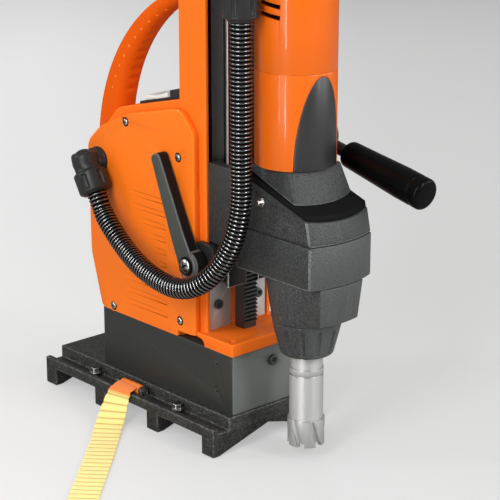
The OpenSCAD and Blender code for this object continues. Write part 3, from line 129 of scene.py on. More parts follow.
class StageSettings(bpy.types.PropertyGroup):
    """Camera and light."""

    azimuth: FloatProperty(name="Azimuth", description="Turn of the camera round the stand", subtype="ANGLE",
                           default=math.radians(47.77))
    elevation: FloatProperty(name="Elevation", description="Height of the camera above the horizon",
                             subtype="ANGLE", default=math.radians(17.63))
    place: FloatVectorProperty(name="Camera", description="Where the camera stands", subtype="TRANSLATION",
                               default=(1.2780, -1.0651, 0.6865))
    lens: FloatProperty(name="Lens", description="Focal length in millimetres", default=128.06)
    floor: colour("Floor", "Pale floor", (0.30, 0.30, 0.298))
    sky: FloatProperty(name="Ambient light", description="Strength of the world's light", default=0.22, min=0)


def colours():
    return bpy.context.scene.stand_colours


def sizes():
    return bpy.context.scene.stand_sizes


def stage_settings():
    return bpy.context.scene.stand_stage


class Value:
    """A socket on which Python's arithmetic adds Math nodes."""

    def __init__(self, tree, socket):
        self.tree = tree
        self.socket = socket

    def math(self, operation, *others):
        sockets = dict(enumerate((self, *others)))
        return self.tree.node(self.tree.math_node, {"operation": operation}, sockets)

    def __add__(self, other):
        return self.math("ADD", other)

    __radd__ = __add__

    def __mul__(self, other):
        return self.math("MULTIPLY", other)

    __rmul__ = __mul__

    def __sub__(self, other):
        return self.math("SUBTRACT", other)

    def __rsub__(self, other):
        return self.math("MULTIPLY_ADD", -1.0, other)


class Tree:
    """A node tree whose nodes all come from one method."""

    math_node = "ShaderNodeMath"

    def __init__(self, tree):
        self.tree = tree
        tree.nodes.clear()

    def node(self, kind, settings=None, sockets=None, out=0):
        """Adds a node with its settings first, then its values and links, and gives one of its outputs."""
        made = self.tree.nodes.new(kind)
        for name, value in (settings or {}).items():
            setattr(made, name, value)
        for key, value in (sockets or {}).items():
            if isinstance(value, Value):
                self.tree.links.new(value.socket, made.inputs[key])
            else:
                made.inputs[key].default_value = value
        return Value(self, made.outputs[out]) if made.outputs else made


class Surface(Tree):
    """The node tree of one finish."""

    def __init__(self, name):
        self.material = bpy.data.materials.new(name)
        self.material.use_nodes = True
        super().__init__(self.material.node_tree)

    def place(self, stretch=(1, 1, 1)):
        """Object coordinates in metres, stretched along the axes."""
        where = self.node("ShaderNodeTexCoord", out=3)
        if stretch == (1, 1, 1):
            return where
        return self.node("ShaderNodeMapping", {"vector_type": "POINT"}, {"Vector": where, "Scale": stretch})

    def noise(self, scale, detail=2.0, stretch=(1, 1, 1), rough=0.5):
        sockets = {"Vector": self.place(stretch), "Scale": scale, "Detail": detail, "Roughness": rough}
        return self.node("ShaderNodeTexNoise", None, sockets)

    def cells(self, scale):
        return self.node("ShaderNodeTexVoronoi", None, {"Vector": self.place(), "Scale": scale})

    def faces(self, direction, least=0.8, most=0.801):
        """One where the surface faces a direction, else nothing, with a soft step between two cosines."""
        normal = self.node("ShaderNodeNewGeometry", out=1)
        return self.ramp(self.along(normal, direction), least, most)

    def along(self, vector, direction):
        """How far a vector goes along a direction."""
        return self.node("ShaderNodeVectorMath", {"operation": "DOT_PRODUCT"}, {0: vector, 1: direction}, 1)

    def mix(self, factor, first, second):
        """Mixes two colours."""
        def full(c):
            return c if isinstance(c, Value) else (*c[:3], 1)
        sockets = {0: factor, 6: full(first), 7: full(second)}
        return self.node("ShaderNodeMix", {"data_type": "RGBA"}, sockets, 2)

    def ramp(self, value, low, high, soft=True):
        """From nothing to one while a value goes from low to high."""
        kind = {"interpolation_type": "SMOOTHSTEP" if soft else "LINEAR"}
        return self.node("ShaderNodeMapRange", kind, {"Value": value, "From Min": low, "From Max": high})

    def bump(self, height, depth):
        return self.node("ShaderNodeBump", None, {"Strength": 1.0, "Distance": depth, "Height": height})

    def finish(self, base, rough, metallic=0.0, coat=0.0, normal=None, **more):
        """The surface's shader, with constant sockets set on the shader itself."""
        sockets = {"Base Color": base if isinstance(base, Value) else (*base[:3], 1), "Roughness": rough,
                   "Metallic": metallic, "Coat Weight": coat}
        sockets.update({name.replace("_", " "): value for name, value in more.items()})
        if normal is not None:
            sockets["Normal"] = normal
        shader = self.node("ShaderNodeBsdfPrincipled", None, sockets)
        self.node("ShaderNodeOutputMaterial", None, {"Surface": shader})
        return self.material


def shade(c, factor):
    """A colour made lighter or darker."""
    return tuple(min(1.0, x * factor) for x in c[:3])


PEEL = 0.00002


def gloss_paint(name, base, rough, coat, peel=PEEL, specular=0.16):
    """Smooth paint or gloss moulding with a faint orange peel and a little unevenness."""
    s = Surface(name)
    patches = s.noise(9, 2.0)
    fine = s.noise(420, 2.0)
    tint = s.mix(patches, shade(base, 0.94), shade(base, 1.06))
    return s.finish(tint, rough + 0.10 * fine - 0.05, coat=coat, normal=s.bump(fine, peel),
                    Coat_Roughness=0.08, Specular_IOR_Level=specular)


def grained(name, base, rough, size, depth, fleck=1.5, lit_front=1.0):
    """Textured paint on a casting: rounded grains of one size, with lighter flecks on the highest. Faces
    towards +X are made lighter by a factor, as painted light on those faces."""
    s = Surface(name)
    grains = s.cells(1 / size)
    fine = s.noise(0.9 / size, 3.0, rough=0.7)
    height = 1 - grains + 0.6 * fine
    tops = s.ramp(fine, 0.44, 0.64, soft=False)
    tint = s.mix(tops, shade(base, 0.72), shade(base, fleck))
    # Painted light: the faces towards +X take a lighter tone of the grains.
    if lit_front != 1.0:
        light = s.mix(tops, shade(base, 0.9 * lit_front), shade(base, 1.25 * lit_front))
        tint = s.mix(s.faces((1, 0, 0), 0.5, 0.95), tint, light)
    return s.finish(tint, rough + 0.16 * fine - 0.08, normal=s.bump(height, depth), Specular_IOR_Level=0.35)


COVER_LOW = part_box("right_cover")[0]
VENT_LOW = COVER_LOW.z + 14.7 * MM
VENT_PITCH, VENT_HEIGHT, VENT_DEPTH = 12.45 * MM, 5.2 * MM, 1.5 * MM


def scoop_shadow_paint(name, base):
    """Cover paint in the scoops of the vents, with a painted shadow under each upper edge that is darker
    where the scoop is deep.
    """
    s = Surface(name)
    y, z = (s.node("ShaderNodeSeparateXYZ", None, {"Vector": s.place()}, k) for k in (1, 2))
    row = ((z - VENT_LOW) * (1 / VENT_PITCH)).math("FRACT")
    top = VENT_HEIGHT / VENT_PITCH
    under = s.ramp(row, 0.72 * top, 0.95 * top)
    outside = -COVER_LOW.y
    depth = s.ramp(y.math("ABSOLUTE"), outside, outside - 0.6 * VENT_DEPTH, soft=False)
    # Painted shadow: under each scoop's upper edge the paint darkens to three tenths, the more the deeper the
    # scoop.
    tint = s.mix(under * depth, shade(base, 1.02), shade(base, 0.30))
    return s.finish(tint, 0.42, Specular_IOR_Level=0.16)


def moulded(name, base, rough, size=0.0008, depth=0.00003, specular=0.3, facing_tone=None):
    """Plain moulding with a fine spark texture, which may take another colour where it faces a direction."""
    s = Surface(name)
    fine = s.noise(1 / size, 2.0)
    patches = s.noise(14, 2.0)
    tint = s.mix(patches, shade(base, 0.85), shade(base, 1.2))
    if facing_tone:
        tone, direction = facing_tone
        tint = s.mix(s.faces(direction), tint, s.mix(patches, shade(tone, 0.9), shade(tone, 1.1)))
    return s.finish(tint, rough + 0.14 * fine - 0.07, normal=s.bump(fine, depth), Specular_IOR_Level=specular)


def brushed(name, base, rough, stretch, depth=0.00002, metallic=1.0):
    """Metal with fine lines along one direction, the long one of stretch being small."""
    s = Surface(name)
    lines = s.noise(900, 3.0, stretch, 0.65)
    patches = s.noise(30, 2.0)
    tint = s.mix(lines, shade(base, 0.82), shade(base, 1.12))
    return s.finish(tint, rough + 0.18 * lines + 0.06 * patches - 0.12, metallic=metallic,
                    normal=s.bump(lines, depth))


def webbing(name, base, fold):
    """Woven strap on its own map: across the strap from 0 to 1, and along it in metres."""
    s = Surface(name)
    thread_shadow = (0.40, 0.20, 0.03)
    threads_across, thread_pitch = 40, 0.6 * MM
    sewn_from, sewn_to = 12.5 * MM, 16.5 * MM
    where = s.node("ShaderNodeUVMap", {"uv_map": "weave"})
    across = s.node("ShaderNodeSeparateXYZ", None, {"Vector": where}, 0)
    along = s.node("ShaderNodeSeparateXYZ", None, {"Vector": where}, 1)
    rib = (along * (1 / sizes().strap_rib)).math("FRACT")
    seam = ((rib - 0.5).math("ABSOLUTE") * 2).math("POWER", 6.0)
    warp = (across * (math.pi * threads_across)).math("SINE") * 0.5 + 0.5
    weft = (along * (math.pi / thread_pitch)).math("SINE") * 0.5 + 0.5
    thread = warp * weft
    body = s.mix(thread, shade(base, 0.86), shade(base, 1.08))
    groove = s.mix(seam, body, thread_shadow)
    sewn = s.ramp(along, sewn_from, sewn_to, soft=False)
    return s.finish(s.mix(sewn, fold, groove), 0.78, normal=s.bump(thread, 0.00012), Sheen_Weight=0.25)


def ribbed(name, base):
    """Rubber whose ribs shine and whose grooves stay dull and darker with painted shade, by the attribute
    that the hose carries.
    """
    s = Surface(name)
    rib = s.node("ShaderNodeAttribute", {"attribute_name": "rib"}, None, 2)
    high = s.ramp(rib, 0.40, 0.75)
    # Painted shade: the grooves darken to a fifth of the base colour.
    return s.finish(s.mix(high, shade(base, 0.2), base), 0.75 - 0.45 * high, coat=high, Coat_IOR=2.6,
                    Coat_Roughness=0.09, Specular_IOR_Level=0.06)


def wound(name, base):
    """Varnished winding wire lying in rows."""
    s = Surface(name)
    rows = s.noise(700, 1.0, (0.05, 0.05, 1))
    tint = s.mix(rows, shade(base, 0.6), shade(base, 1.1))
    return s.finish(tint, 0.42, metallic=0.8, normal=s.bump(rows, 0.0001))


def floor_finish(name, base):
    """Pale floor that keeps its tone for the camera, and takes the shadow."""
    s = Surface(name)
    fine = s.noise(60, 3.0)
    tint = s.mix(fine, shade(base, 0.985), shade(base, 1.015))
    # The camera sees the floor glow brighter to the left and dimmer to the right: a painted fall-off of light
    # across the floor.
    to_the_right = (0.672, 0.740, 0)
    side = (s.along(s.place(), to_the_right) * 1.5 + 0.55).math("MINIMUM", 1.0).math("MAXIMUM", 0.0)
    tone = s.mix(side, (0.50, 0.50, 0.50), (0.33, 0.335, 0.33))
    glow = s.mix(s.node("ShaderNodeLightPath"), (0, 0, 0), tone)
    return s.finish(tint, 0.9, Emission_Color=glow, Emission_Strength=1.0)


FINISHES = {}


def finish(name):
    """A finish by name, made the first time it is asked for."""
    if name not in FINISHES:
        FINISHES[name] = make_finish(name)
    return FINISHES[name]


def make_finish(name):
    """Looks a finish up among the values of each kind, in the order in which its maker takes them."""
    c = colours()
    upright, along_x, along_y = (1, 1, 0.02), (0.02, 1, 1), (1, 0.02, 1)
    paints = {
        "orange_casting": (c.casting, 0.44, 0.0, PEEL, 0.10),
        # Lighter paint on the casting's rounded edges: a painted highlight.
        "orange_casting_edge": (shade(c.casting, 1.15), 0.40, 0.06),
        # The handle's paint, darker than the casting's as painted shade.
        "orange_handle": (c.handle, 0.50, 0.0, PEEL, 0.03),
        # Lighter than the casting, with a strong coat: the pips carry painted highlights.
        "pip_paint": (shade(c.casting, 1.25), 0.25, 0.8),
        "orange_shell": (c.shell, 0.40, 0.03),
        # Lighter paint on the covers' rounded edges: a painted highlight.
        "orange_shell_edge": (shade(c.shell, 1.15), 0.34, 0.2),
        # The walls of the vents' scoops: cover paint darkened as painted shade in the recesses.
        "vent_wall": (shade(c.shell, 0.30), 0.5, 0.0),
        "orange_motor": (c.motor, 0.36, 0.40, 0.5 * PEEL),
    }
    castings = {
        "saddle": (c.saddle, 0.46, 0.0022, 0.00045, 2.3),
        # Lighter tone on the saddle's rounded edges: a painted highlight.
        "saddle_edge": (shade(c.saddle, 2.2), 0.42, 0.0022, 0.0004, 2.4),
        # The last value of neck, head_upper, head and nose lightens their faces towards +X as painted light.
        "neck": (c.head, 0.42, 0.0014, 0.00040, 2.2, 1.5),
        "head_upper": (c.head, 0.42, 0.0014, 0.00040, 2.2, 2.0),
        "head": (c.head, 0.42, 0.0014, 0.00036, 2.1, 2.9),
        "nose": (shade(c.head, 1.4), 0.42, 0.0014, 0.00036, 2.1, 2.1),
        "carriage": (c.head, 0.45, 0.0014, 0.00025, 1.5),
        # Much lighter tone on the gear head's upright edges: a painted highlight.
        "head_edge": (shade(c.head, 4.6), 0.40, 0.0014, 0.00025, 1.6),
    }
    # The magnet's faces towards +X and the lever's face towards -Y take lighter tones than the rest of them.
    magnet_front_tone, lever_face_tone = ((0.13, 0.14, 0.13), (1, 0, 0)), ((0.056, 0.060, 0.052), (0, -1, 0))
    mouldings = {
        "satin_black": (c.black, 0.38),
        # Lighter tone on the magnet's rounded edges: a painted highlight.
        "satin_black_edge": (shade(c.black, 3.0), 0.36),
        "magnet_black": ((0.026, 0.027, 0.024), 0.45, 0.0008, 0.00003, 0.3, magnet_front_tone),
        "lever_grey": ((0.006, 0.006, 0.006), 0.42, 0.0012, 0.00006, 0.14, lever_face_tone),
        # Light grey on the lever's rounded edges: a painted highlight.
        "lever_edge": ((0.10, 0.10, 0.095), 0.40, 0.0012, 0.00006),
        "gland_black": ((0.020, 0.020, 0.020), 0.36, 0.0007, 0.00002),
        "grip_black": ((0.003, 0.003, 0.003), 0.22, 0.004, 0.000004, 0.08),
        "seal_black": ((0.005, 0.005, 0.005), 0.7, 0.0009, 0.00005, 0.08),
        "insert_grey": ((0.0095, 0.010, 0.0095), 0.40, 0.0008, 0.00002, 0.9),
        "rocker_grey": ((0.66, 0.66, 0.63), 0.22, 0.001, 0.00001),
        "green": ((0.02, 0.20, 0.05), 0.25, 0.001, 0.00001),
        "red": ((0.45, 0.012, 0.010), 0.25, 0.001, 0.00001),
        # Pale tone on the rail's front and back edges: a painted highlight.
        "rail_edge": ((0.60, 0.59, 0.57), 0.35, 0.0008, 0.00003, 0.5),
        "sewn": (c.fold, 0.75, 0.0008, 0.0002),
    }
    metals = {
        "rail_steel": ((0.054, 0.052, 0.050), 0.42, upright),
        "bright_steel": (c.steel, 0.34, upright),
        "bright_steel_x": (c.steel, 0.30, along_x),
        "bright_steel_y": (c.steel, 0.30, along_y),
        "matt_steel": ((0.60, 0.60, 0.585), 0.50, upright, 0.00003, 0.55),
        "cutter_steel": ((0.48, 0.48, 0.468), 0.46, upright, 0.00003, 0.55),
        "dark_steel": ((0.11, 0.11, 0.11), 0.42, upright),
        "zinc": ((0.52, 0.54, 0.57), 0.36, along_x),
        "bronze": ((0.55, 0.36, 0.14), 0.40, upright),
        "laminated": ((0.36, 0.36, 0.37), 0.45, (0.02, 0.02, 1), 0.0001),
    }
    kinds = [
        (gloss_paint, paints), (grained, castings), (moulded, mouldings), (brushed, metals),
        (scoop_shadow_paint, {"vent_floor": (c.shell,)}), (ribbed, {"hose_black": ((0.006, 0.006, 0.006),)}),
        (wound, {"copper": ((0.55, 0.24, 0.10),)}), (webbing, {"webbing": (c.webbing, c.fold)}),
        (floor_finish, {"floor": (stage_settings().floor,)}),
    ]
    maker, values = next((maker, table[name]) for maker, table in kinds if name in table)
    return maker(name, *values)


def put(name, data):
    """A new object in the scene."""
    made = bpy.data.objects.new(name, data)
    bpy.context.scene.collection.objects.link(made)
    return made


def to_mesh(bm, name, outward=False):
    """What was built, as a mesh of its own, with its faces turned outward where that is asked for."""
    if outward:
        bmesh.ops.recalc_face_normals(bm, faces=bm.faces)
    mesh = bpy.data.meshes.new(name)
    bm.to_mesh(mesh)
    bm.free()
    return mesh


def add_piece(name, mesh, body, replaced=(), materials=()):
    """A finished piece in the frame, riding on a body."""
    piece = put(name, mesh)
    for m in materials:
        mesh.materials.append(finish(m))
    if body:
        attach(piece, body)
    if replaced:
        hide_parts(*replaced)
    return piece


def body_of(node):
    return frame["nodes"][node]["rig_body"]


def welded(node):
    """The CAD node's mesh with its loose triangles joined and its flat faces whole."""
    bm = bmesh.new()
    bm.from_mesh(frame["nodes"][node].data)
    bmesh.ops.remove_doubles(bm, verts=bm.verts, dist=WELD)
    bmesh.ops.dissolve_degenerate(bm, edges=bm.edges, dist=WELD)
    bmesh.ops.dissolve_limit(bm, angle_limit=math.radians(0.4), verts=bm.verts, edges=bm.edges)
    return bm


def flat_mesh(obj):
    """What an object looks like with its modifiers, as a plain mesh; the object goes."""
    graph = bpy.context.evaluated_depsgraph_get()
    mesh = bpy.data.meshes.new_from_object(obj.evaluated_get(graph))
    bpy.data.objects.remove(obj)
    return mesh


def soften(mesh, angle=30):
    """Smooth shading, but for edges sharper than the angle."""
    for p in mesh.polygons:
        p.use_smooth = True
    mesh.set_sharp_from_angle(angle=math.radians(angle))


def keep_crisp(mesh):
    """Keeps the shading broken round the faces that have one of the inner finishes."""
    sides = {}
    for p in mesh.polygons:
        for key in p.edge_keys:
            sides.setdefault(key, set()).add(p.material_index)
    for e in mesh.edges:
        around = sides.get(e.key, {0})
        if len(around) > 1 and max(around) >= FIRST_INNER:
            e.use_edge_sharp = True


def folded_faces(mesh):
    """Numbers of the faces whose triangles cover more than the face, because its outline crosses itself."""
    mesh.calc_loop_triangles()
    covered = [0.0] * len(mesh.polygons)
    for t in mesh.loop_triangles:
        covered[t.polygon_index] += t.area
    return [p.index for p in mesh.polygons if covered[p.index] > 1.005 * p.area + 1e-9]


def refill(mesh):
    """Fills every folded flat face again from its outline."""
    bad = folded_faces(mesh)
    if not bad:
        return
    bm = bmesh.new()
    bm.from_mesh(mesh)
    bm.faces.ensure_lookup_table()
    for face in [bm.faces[i] for i in bad if len(bm.faces[i].verts) > 4]:
        normal = face.normal.copy()
        flat = normal.to_track_quat("Z", "Y").inverted().to_matrix()
        corners = list(face.verts)
        points = [flat @ v.co for v in corners]
        height = sum(p.z for p in points) / len(points)
        made = delaunay_2d_cdt([p.xy for p in points], [], [range(len(points))], 1, 1e-7)
        verts = []
        for place, first in zip(made[0], made[3]):
            new = None if first else bm.verts.new(flat.inverted() @ Vector((*place, height)))
            verts.append(corners[first[0]] if first else new)
        index = face.material_index
        bmesh.ops.delete(bm, geom=[face], context="FACES_ONLY")
        for tile in made[2]:
            ring = [verts[i] for i in tile]
            if len(set(ring)) == 3 and bm.faces.get(ring) is None:
                part = bm.faces.new(ring)
                part.material_index = index
                part.normal_update()
                if part.normal.dot(normal) < 0:
                    part.normal_flip()
    bm.to_mesh(mesh)
    bm.free()


FIRST_INNER = 2


def dress(node, width, material, edge=None, angle=32, lit=None, crisp=None, inner=()):
    """A copy of a CAD node with rounded edges, which stands for it. The edge's finish, where it is lighter
    than the surface, is a highlight painted on the rounded edges. Lit tells from a face's middle and its
    facing whether a rounded edge takes that finish, crisp tells which edges aren't rounded, and inner holds
    more finishes, each with its own test of a face's middle and facing."""
    bm = welded(node)
    weight = bm.edges.layers.float.new("bevel_weight_edge")
    for e in bm.edges:
        if len(e.link_faces) == 2 and e.calc_face_angle() > math.radians(angle):
            e[weight] = 0.0 if crisp and crisp((e.verts[0].co + e.verts[1].co) / 2) else 1.0
    mesh = to_mesh(bm, node + "_part")
    mesh.materials.clear()
    for name in (material, edge or material, *(name for name, _ in inner)):
        mesh.materials.append(finish(name))
    for p in mesh.polygons:
        fits = (i for i, (_, test) in enumerate(inner, FIRST_INNER) if test(p.center, p.normal))
        p.material_index = next(fits, 0)
    holder = put(node + "_holder", mesh)
    bevel = holder.modifiers.new("Edges", "BEVEL")
    bevel.width = width
    bevel.segments = 2
    bevel.limit_method = "WEIGHT"
    bevel.use_clamp_overlap = False
    bevel.material = 1
    made = flat_mesh(holder)
    for p in made.polygons:
        if lit and p.material_index == 1 and not lit(p.center, p.normal):
            p.material_index = 0
    refill(made)
    soften(made)
    keep_crisp(made)
    return add_piece(node + "_part", made, body_of(node), (node,))


def paint(node, material):
    """Gives a CAD node that stays a finish of its own."""
    mesh = frame["nodes"][node].data
    mesh.materials.clear()
    mesh.materials.append(finish(material))


def catmull(points, steps):
    """Smooth curve through points, with a number of steps between them."""
    last = len(points) - 1
    made = []
    for i in range(last):
        a, b, c, d = (points[max(0, min(last, k))] for k in (i - 1, i, i + 1, i + 2))
        for k in range(steps):
            t = k / steps
            made.append(0.5 * (2 * b + (c - a) * t + (2 * a - 5 * b + 4 * c - d) * t ** 2
                               + (3 * b - a - 3 * c + d) * t ** 3))
    return made + [points[-1]]


def marks_along(points):
    """How far each point lies from the first, along their line."""
    return [0.0, *accumulate((b - a).length for a, b in zip(points, points[1:]))]


def walk(marks, count):
    """Even steps along a line with such marks: the way gone, the stretch's number and the share of it."""
    k = 0
    for i in range(count + 1):
        gone = marks[-1] * i / count
        while k < len(marks) - 2 and marks[k + 1] < gone:
            k += 1
        yield gone, k, (gone - marks[k]) / max(marks[k + 1] - marks[k], 1e-12)


def evenly(points, spacing):
    """Points at about one spacing along a line of points."""
    marks = marks_along(points)
    steps = walk(marks, max(2, round(marks[-1] / spacing)))
    return [points[k].lerp(points[k + 1], share) for _, k, share in steps]


def skin_rings(bm, rings, closed_ends=True):
    """Faces between rings of vertices that follow each other."""
    for a, b in zip(rings, rings[1:]):
        for k in range(len(a)):
            n = (k + 1) % len(a)
            bm.faces.new((a[k], a[n], b[n], b[k]))
    if closed_ends:
        bm.faces.new(rings[0][::-1])
        bm.faces.new(rings[-1])


STRAP_BAR_Y, STRAP_TOP_Z, RIM_Z = -62.0, 32.5, 28.0
STRAP_ROUTE = [
    (-5, STRAP_BAR_Y, STRAP_TOP_Z), (-5, -66.5, RIM_Z + 2.9), (-5, -71.2, RIM_Z + 1),
    (-4.5, -75, 24), (-3, -80, 16.8), (1, -87, 9.5), (8, -96, 4.4), (18, -107, 1.9), (32, -121, 1),
    (64, -154, 1), (100, -192, 1), (136, -230, 1), (172, -268, 1), (210, -308, 1), (246, -346, 1),
]
STRAP_TURN = math.radians(43.5)
ROLL_CORE, ROLL_TURNS, ROLL_GAP, ROLL_AHEAD = 10 * MM, 8, 0.6 * MM, 0.4 * MM


def strap_line():
    """Centre points of the strap with its width and up directions, from the bar to the heart of the roll."""
    thick = sizes().strap_thickness
    run = catmull([Vector(p) * MM for p in STRAP_ROUTE], 12)
    count = len(run) - 1
    line = []
    for i, p in enumerate(run):
        heading = (run[min(i + 1, count)] - run[max(i - 1, 0)]).normalized()
        turn = STRAP_TURN * max(0, min(1, (i / count - 0.12) / 0.34))
        side = Vector((math.cos(turn), math.sin(turn), 0))
        side = (side - side.dot(heading) * heading).normalized()
        line.append((p, side, side.cross(heading)))
    ahead = Vector((math.sin(STRAP_TURN), -math.cos(STRAP_TURN), 0))
    side = Vector((math.cos(STRAP_TURN), math.sin(STRAP_TURN), 0))
    pitch = thick + ROLL_GAP
    outer = ROLL_CORE + ROLL_TURNS * pitch
    centre = run[-1] + ROLL_AHEAD * ahead
    centre.z = outer + thick / 2
    steps = 60
    for i in range(1, ROLL_TURNS * steps + 1):
        angle = 2 * math.pi * i / steps
        radius = outer - pitch * i / steps
        out = math.sin(angle) * ahead - math.cos(angle) * Vector((0, 0, 1))
        line.append((centre + radius * out, side, -out))
    return line


def make_strap():
    """The woven strap as one ribbon: flat run, then the roll that waits to be led round the pipe."""
    z = sizes()
    line = strap_line()
    marks = marks_along([p for p, _, _ in line])
    per_rib = 7
    count = int(marks[-1] / z.strap_rib * per_rib)
    across = [-0.5, -0.47, -0.3, -0.1, 0.1, 0.3, 0.47, 0.5]
    bm = bmesh.new()
    weave = bm.loops.layers.uv.new("weave")
    rings, where = [], {}
    for s, k, share in walk(marks, count):
        p, side, up = (line[k][j].lerp(line[k + 1][j], share) for j in range(3))
        crown = abs(math.sin(math.pi * s / z.strap_rib)) ** 0.45
        half = z.strap_thickness / 2 * (0.40 + 0.60 * crown)
        wide = z.strap_width * (0.93 + 0.07 * crown)
        ring = []
        for sign, row in ((1, across), (-1, across[::-1])):
            for u in row:
                lift = half * (0.45 if abs(u) > 0.49 else 1.0)
                v = bm.verts.new(p + u * wide * side + sign * lift * up)
                where[v] = (u + 0.5, s)
                ring.append(v)
        rings.append(ring)
    skin_rings(bm, rings)
    for f in bm.faces:
        for loop in f.loops:
            loop[weave].uv = where[loop.vert]
    mesh = to_mesh(bm, "strap", outward=True)
    soften(mesh, 50)
    piece = add_piece("strap", mesh, "stand", ("strap_run", "strap_roll"), ("webbing",))
    return piece


HOSE_TILT = math.radians(31)
HOSE_DIR = (math.sin(HOSE_TILT), 0, -math.cos(HOSE_TILT))
HOSE_START = (-61.5 + 32 * HOSE_DIR[0], -64, 246.5 + 32 * HOSE_DIR[2])
HOSE_TOP = (153.5, -55, 412)


def hose_route():
    """Points of the hose from the lower gland, under the lever, and up to the motor."""
    start, ahead, top = (Vector(v) for v in (HOSE_START, HOSE_DIR, HOSE_TOP))
    x, y, z = HOSE_TOP
    hand = [(-20, -65.5, 189), (4, -68, 174.5), (32, -72.5, 165), (60.5, -75.2, 159.5), (85.5, -75.2, 158),
            (107, -73, 163.2), (123.6, -69, 174.2), (137, -63.5, 191), (147, -60, 211), (152, -57, 232),
            (x, y, 254), (x, y, 290), (x, y, 330), (x, y, 370), (x, y, z - 22), (x, y, z - 11)]
    return [p * MM for p in (start, start + 11 * ahead, start + 22 * ahead, *map(Vector, hand), top)]


def node_group(name, **inputs):
    """A geometry node group with named inputs after its geometry: its tree, and the value of each input."""
    group = bpy.data.node_groups.new(name, "GeometryNodeTree")
    for label, kind in {"Geometry": "Geometry", **inputs}.items():
        group.interface.new_socket(label, in_out="INPUT", socket_type="NodeSocket" + kind)
    group.interface.new_socket("Geometry", in_out="OUTPUT", socket_type="NodeSocketGeometry")
    t = Tree(group)
    given = group.nodes.new("NodeGroupInput")
    return group, t, [Value(t, given.outputs[i]) for i in range(len(inputs) + 1)]


RINGS_PER_RIB, HOSE_SIDES = 8, 24


def hose_tree():
    """Geometry nodes: a tube along a curve whose radius swells at each rib."""
    group, t, given = node_group("Ribbed hose", Radius="Float", Depth="Float", Ribs="Int", Finish="Material")
    curve, radius, depth, ribs, skin = given
    rings = ribs * RINGS_PER_RIB + 1
    spread = t.node("GeometryNodeResampleCurve", None, {"Curve": curve, "Count": rings})
    turn = t.node("GeometryNodeSplineParameter") * ribs
    wave = (turn * (2 * math.pi)).math("COSINE")
    crest = 0.5 - 0.5 * wave
    swell = radius - depth * (1 - crest.math("POWER", 0.55))
    marked = t.node("GeometryNodeStoreNamedAttribute", {"data_type": "FLOAT", "domain": "POINT"},
                    {"Geometry": spread, "Name": "rib", "Value": crest})
    sized = t.node("GeometryNodeSetCurveRadius", None, {"Curve": marked, "Radius": swell})
    circle = t.node("GeometryNodeCurvePrimitiveCircle", None, {"Resolution": HOSE_SIDES, "Radius": 1.0})
    tube = t.node("GeometryNodeCurveToMesh", None, {"Curve": sized, "Profile Curve": circle})
    scale = tube.socket.node.inputs.get("Scale")
    if scale is not None:
        group.links.new(swell.socket, scale)
    whole = t.node("GeometryNodeRealizeInstances", None, {"Geometry": tube})
    smooth = t.node("GeometryNodeSetShadeSmooth", None, {"Geometry": whole})
    dressed = t.node("GeometryNodeSetMaterial", None, {"Geometry": smooth, "Material": skin})
    t.node("NodeGroupOutput", None, {0: dressed})
    return group


def run_tree(obj, group, **inputs):
    """Runs a geometry node tree on an object, sets its named inputs, and gives the plain mesh."""
    modifier = obj.modifiers.new("Make", "NODES")
    modifier.node_group = group
    for item in group.interface.items_tree:
        if item.item_type == "SOCKET" and item.in_out == "INPUT" and item.name in inputs:
            modifier[item.identifier] = inputs[item.name]
    bpy.context.view_layer.update()
    return flat_mesh(obj)


def make_hose():
    z = sizes()
    route = evenly(catmull(hose_route(), 12), 2 * MM)
    curve = bpy.data.curves.new("hose_line", "CURVE")
    curve.dimensions = "3D"
    spline = curve.splines.new("POLY")
    spline.points.add(len(route) - 1)
    for point, p in zip(spline.points, route):
        point.co = (*p, 1)
    group = hose_tree()

    def tube(name, radius, depth):
        return run_tree(put(name, curve.copy()), group, Radius=radius, Depth=depth, Ribs=z.hose_ribs,
                        Finish=finish("hose_black"))

    bm = bmesh.new()
    bm.from_mesh(tube("hose_outside", z.hose_radius, z.hose_rib_depth))
    outer_faces = set(bm.faces)
    bm.from_mesh(tube("hose_inside", z.hose_bore, 0.0))
    bmesh.ops.reverse_faces(bm, faces=[f for f in bm.faces if f not in outer_faces])
    for end in (route[0], route[-1]):
        open_edges = [e for e in bm.edges if e.is_boundary
                      and (e.verts[0].co - end).length < 2 * z.hose_radius]
        bmesh.ops.bridge_loops(bm, edges=open_edges)
    mesh = to_mesh(bm, "hose", outward=True)
    mesh.materials.clear()
    mesh.materials.append(finish("hose_black"))
    for p in mesh.polygons:
        p.use_smooth = True
        p.material_index = 0
    piece = add_piece("hose", mesh, None, ("conduit",))
    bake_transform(piece)
    long = marks_along(route)[-1]
    return piece


def islands(node):
    """Lowest and highest corner of each separate solid in a CAD node."""
    bm = bmesh.new()
    bm.from_mesh(frame["nodes"][node].data)
    bmesh.ops.remove_doubles(bm, verts=bm.verts, dist=WELD)
    left, found = set(bm.verts), []
    while left:
        stack, seen = [left.pop()], []
        while stack:
            v = stack.pop()
            seen.append(v.co.copy())
            for e in v.link_edges:
                o = e.other_vert(v)
                if o in left:
                    left.remove(o)
                    stack.append(o)
        found.append((Vector(map(min, *seen)), Vector(map(max, *seen))))
    bm.free()
    return sorted(found, key=lambda box: tuple(box[0]))


def lathe(name, profile, sides=32, closed=False):
    """A turned shape about Z from its radius and height pairs, with flat ends or closed as a ring."""
    bm = bmesh.new()
    rings = []
    for r, z in profile:
        rings.append([bm.verts.new((r * math.cos(a), r * math.sin(a), z))
                      for a in (2 * math.pi * k / sides for k in range(sides))])
    skin_rings(bm, rings + rings[:1] if closed else rings, not closed)
    return to_mesh(bm, name, outward=True)


def shade_ring(name, inner, outer, height):
    """A flat ring with a broken outer edge, its seat at the origin and its top along Z; round the screws it
    is a dark ring of painted shade.
    """
    return lathe(name, [(inner, 0.0), (outer, 0.0), (outer, 0.7 * height), (outer - 0.3 * height, height),
                        (inner, height)], closed=True)


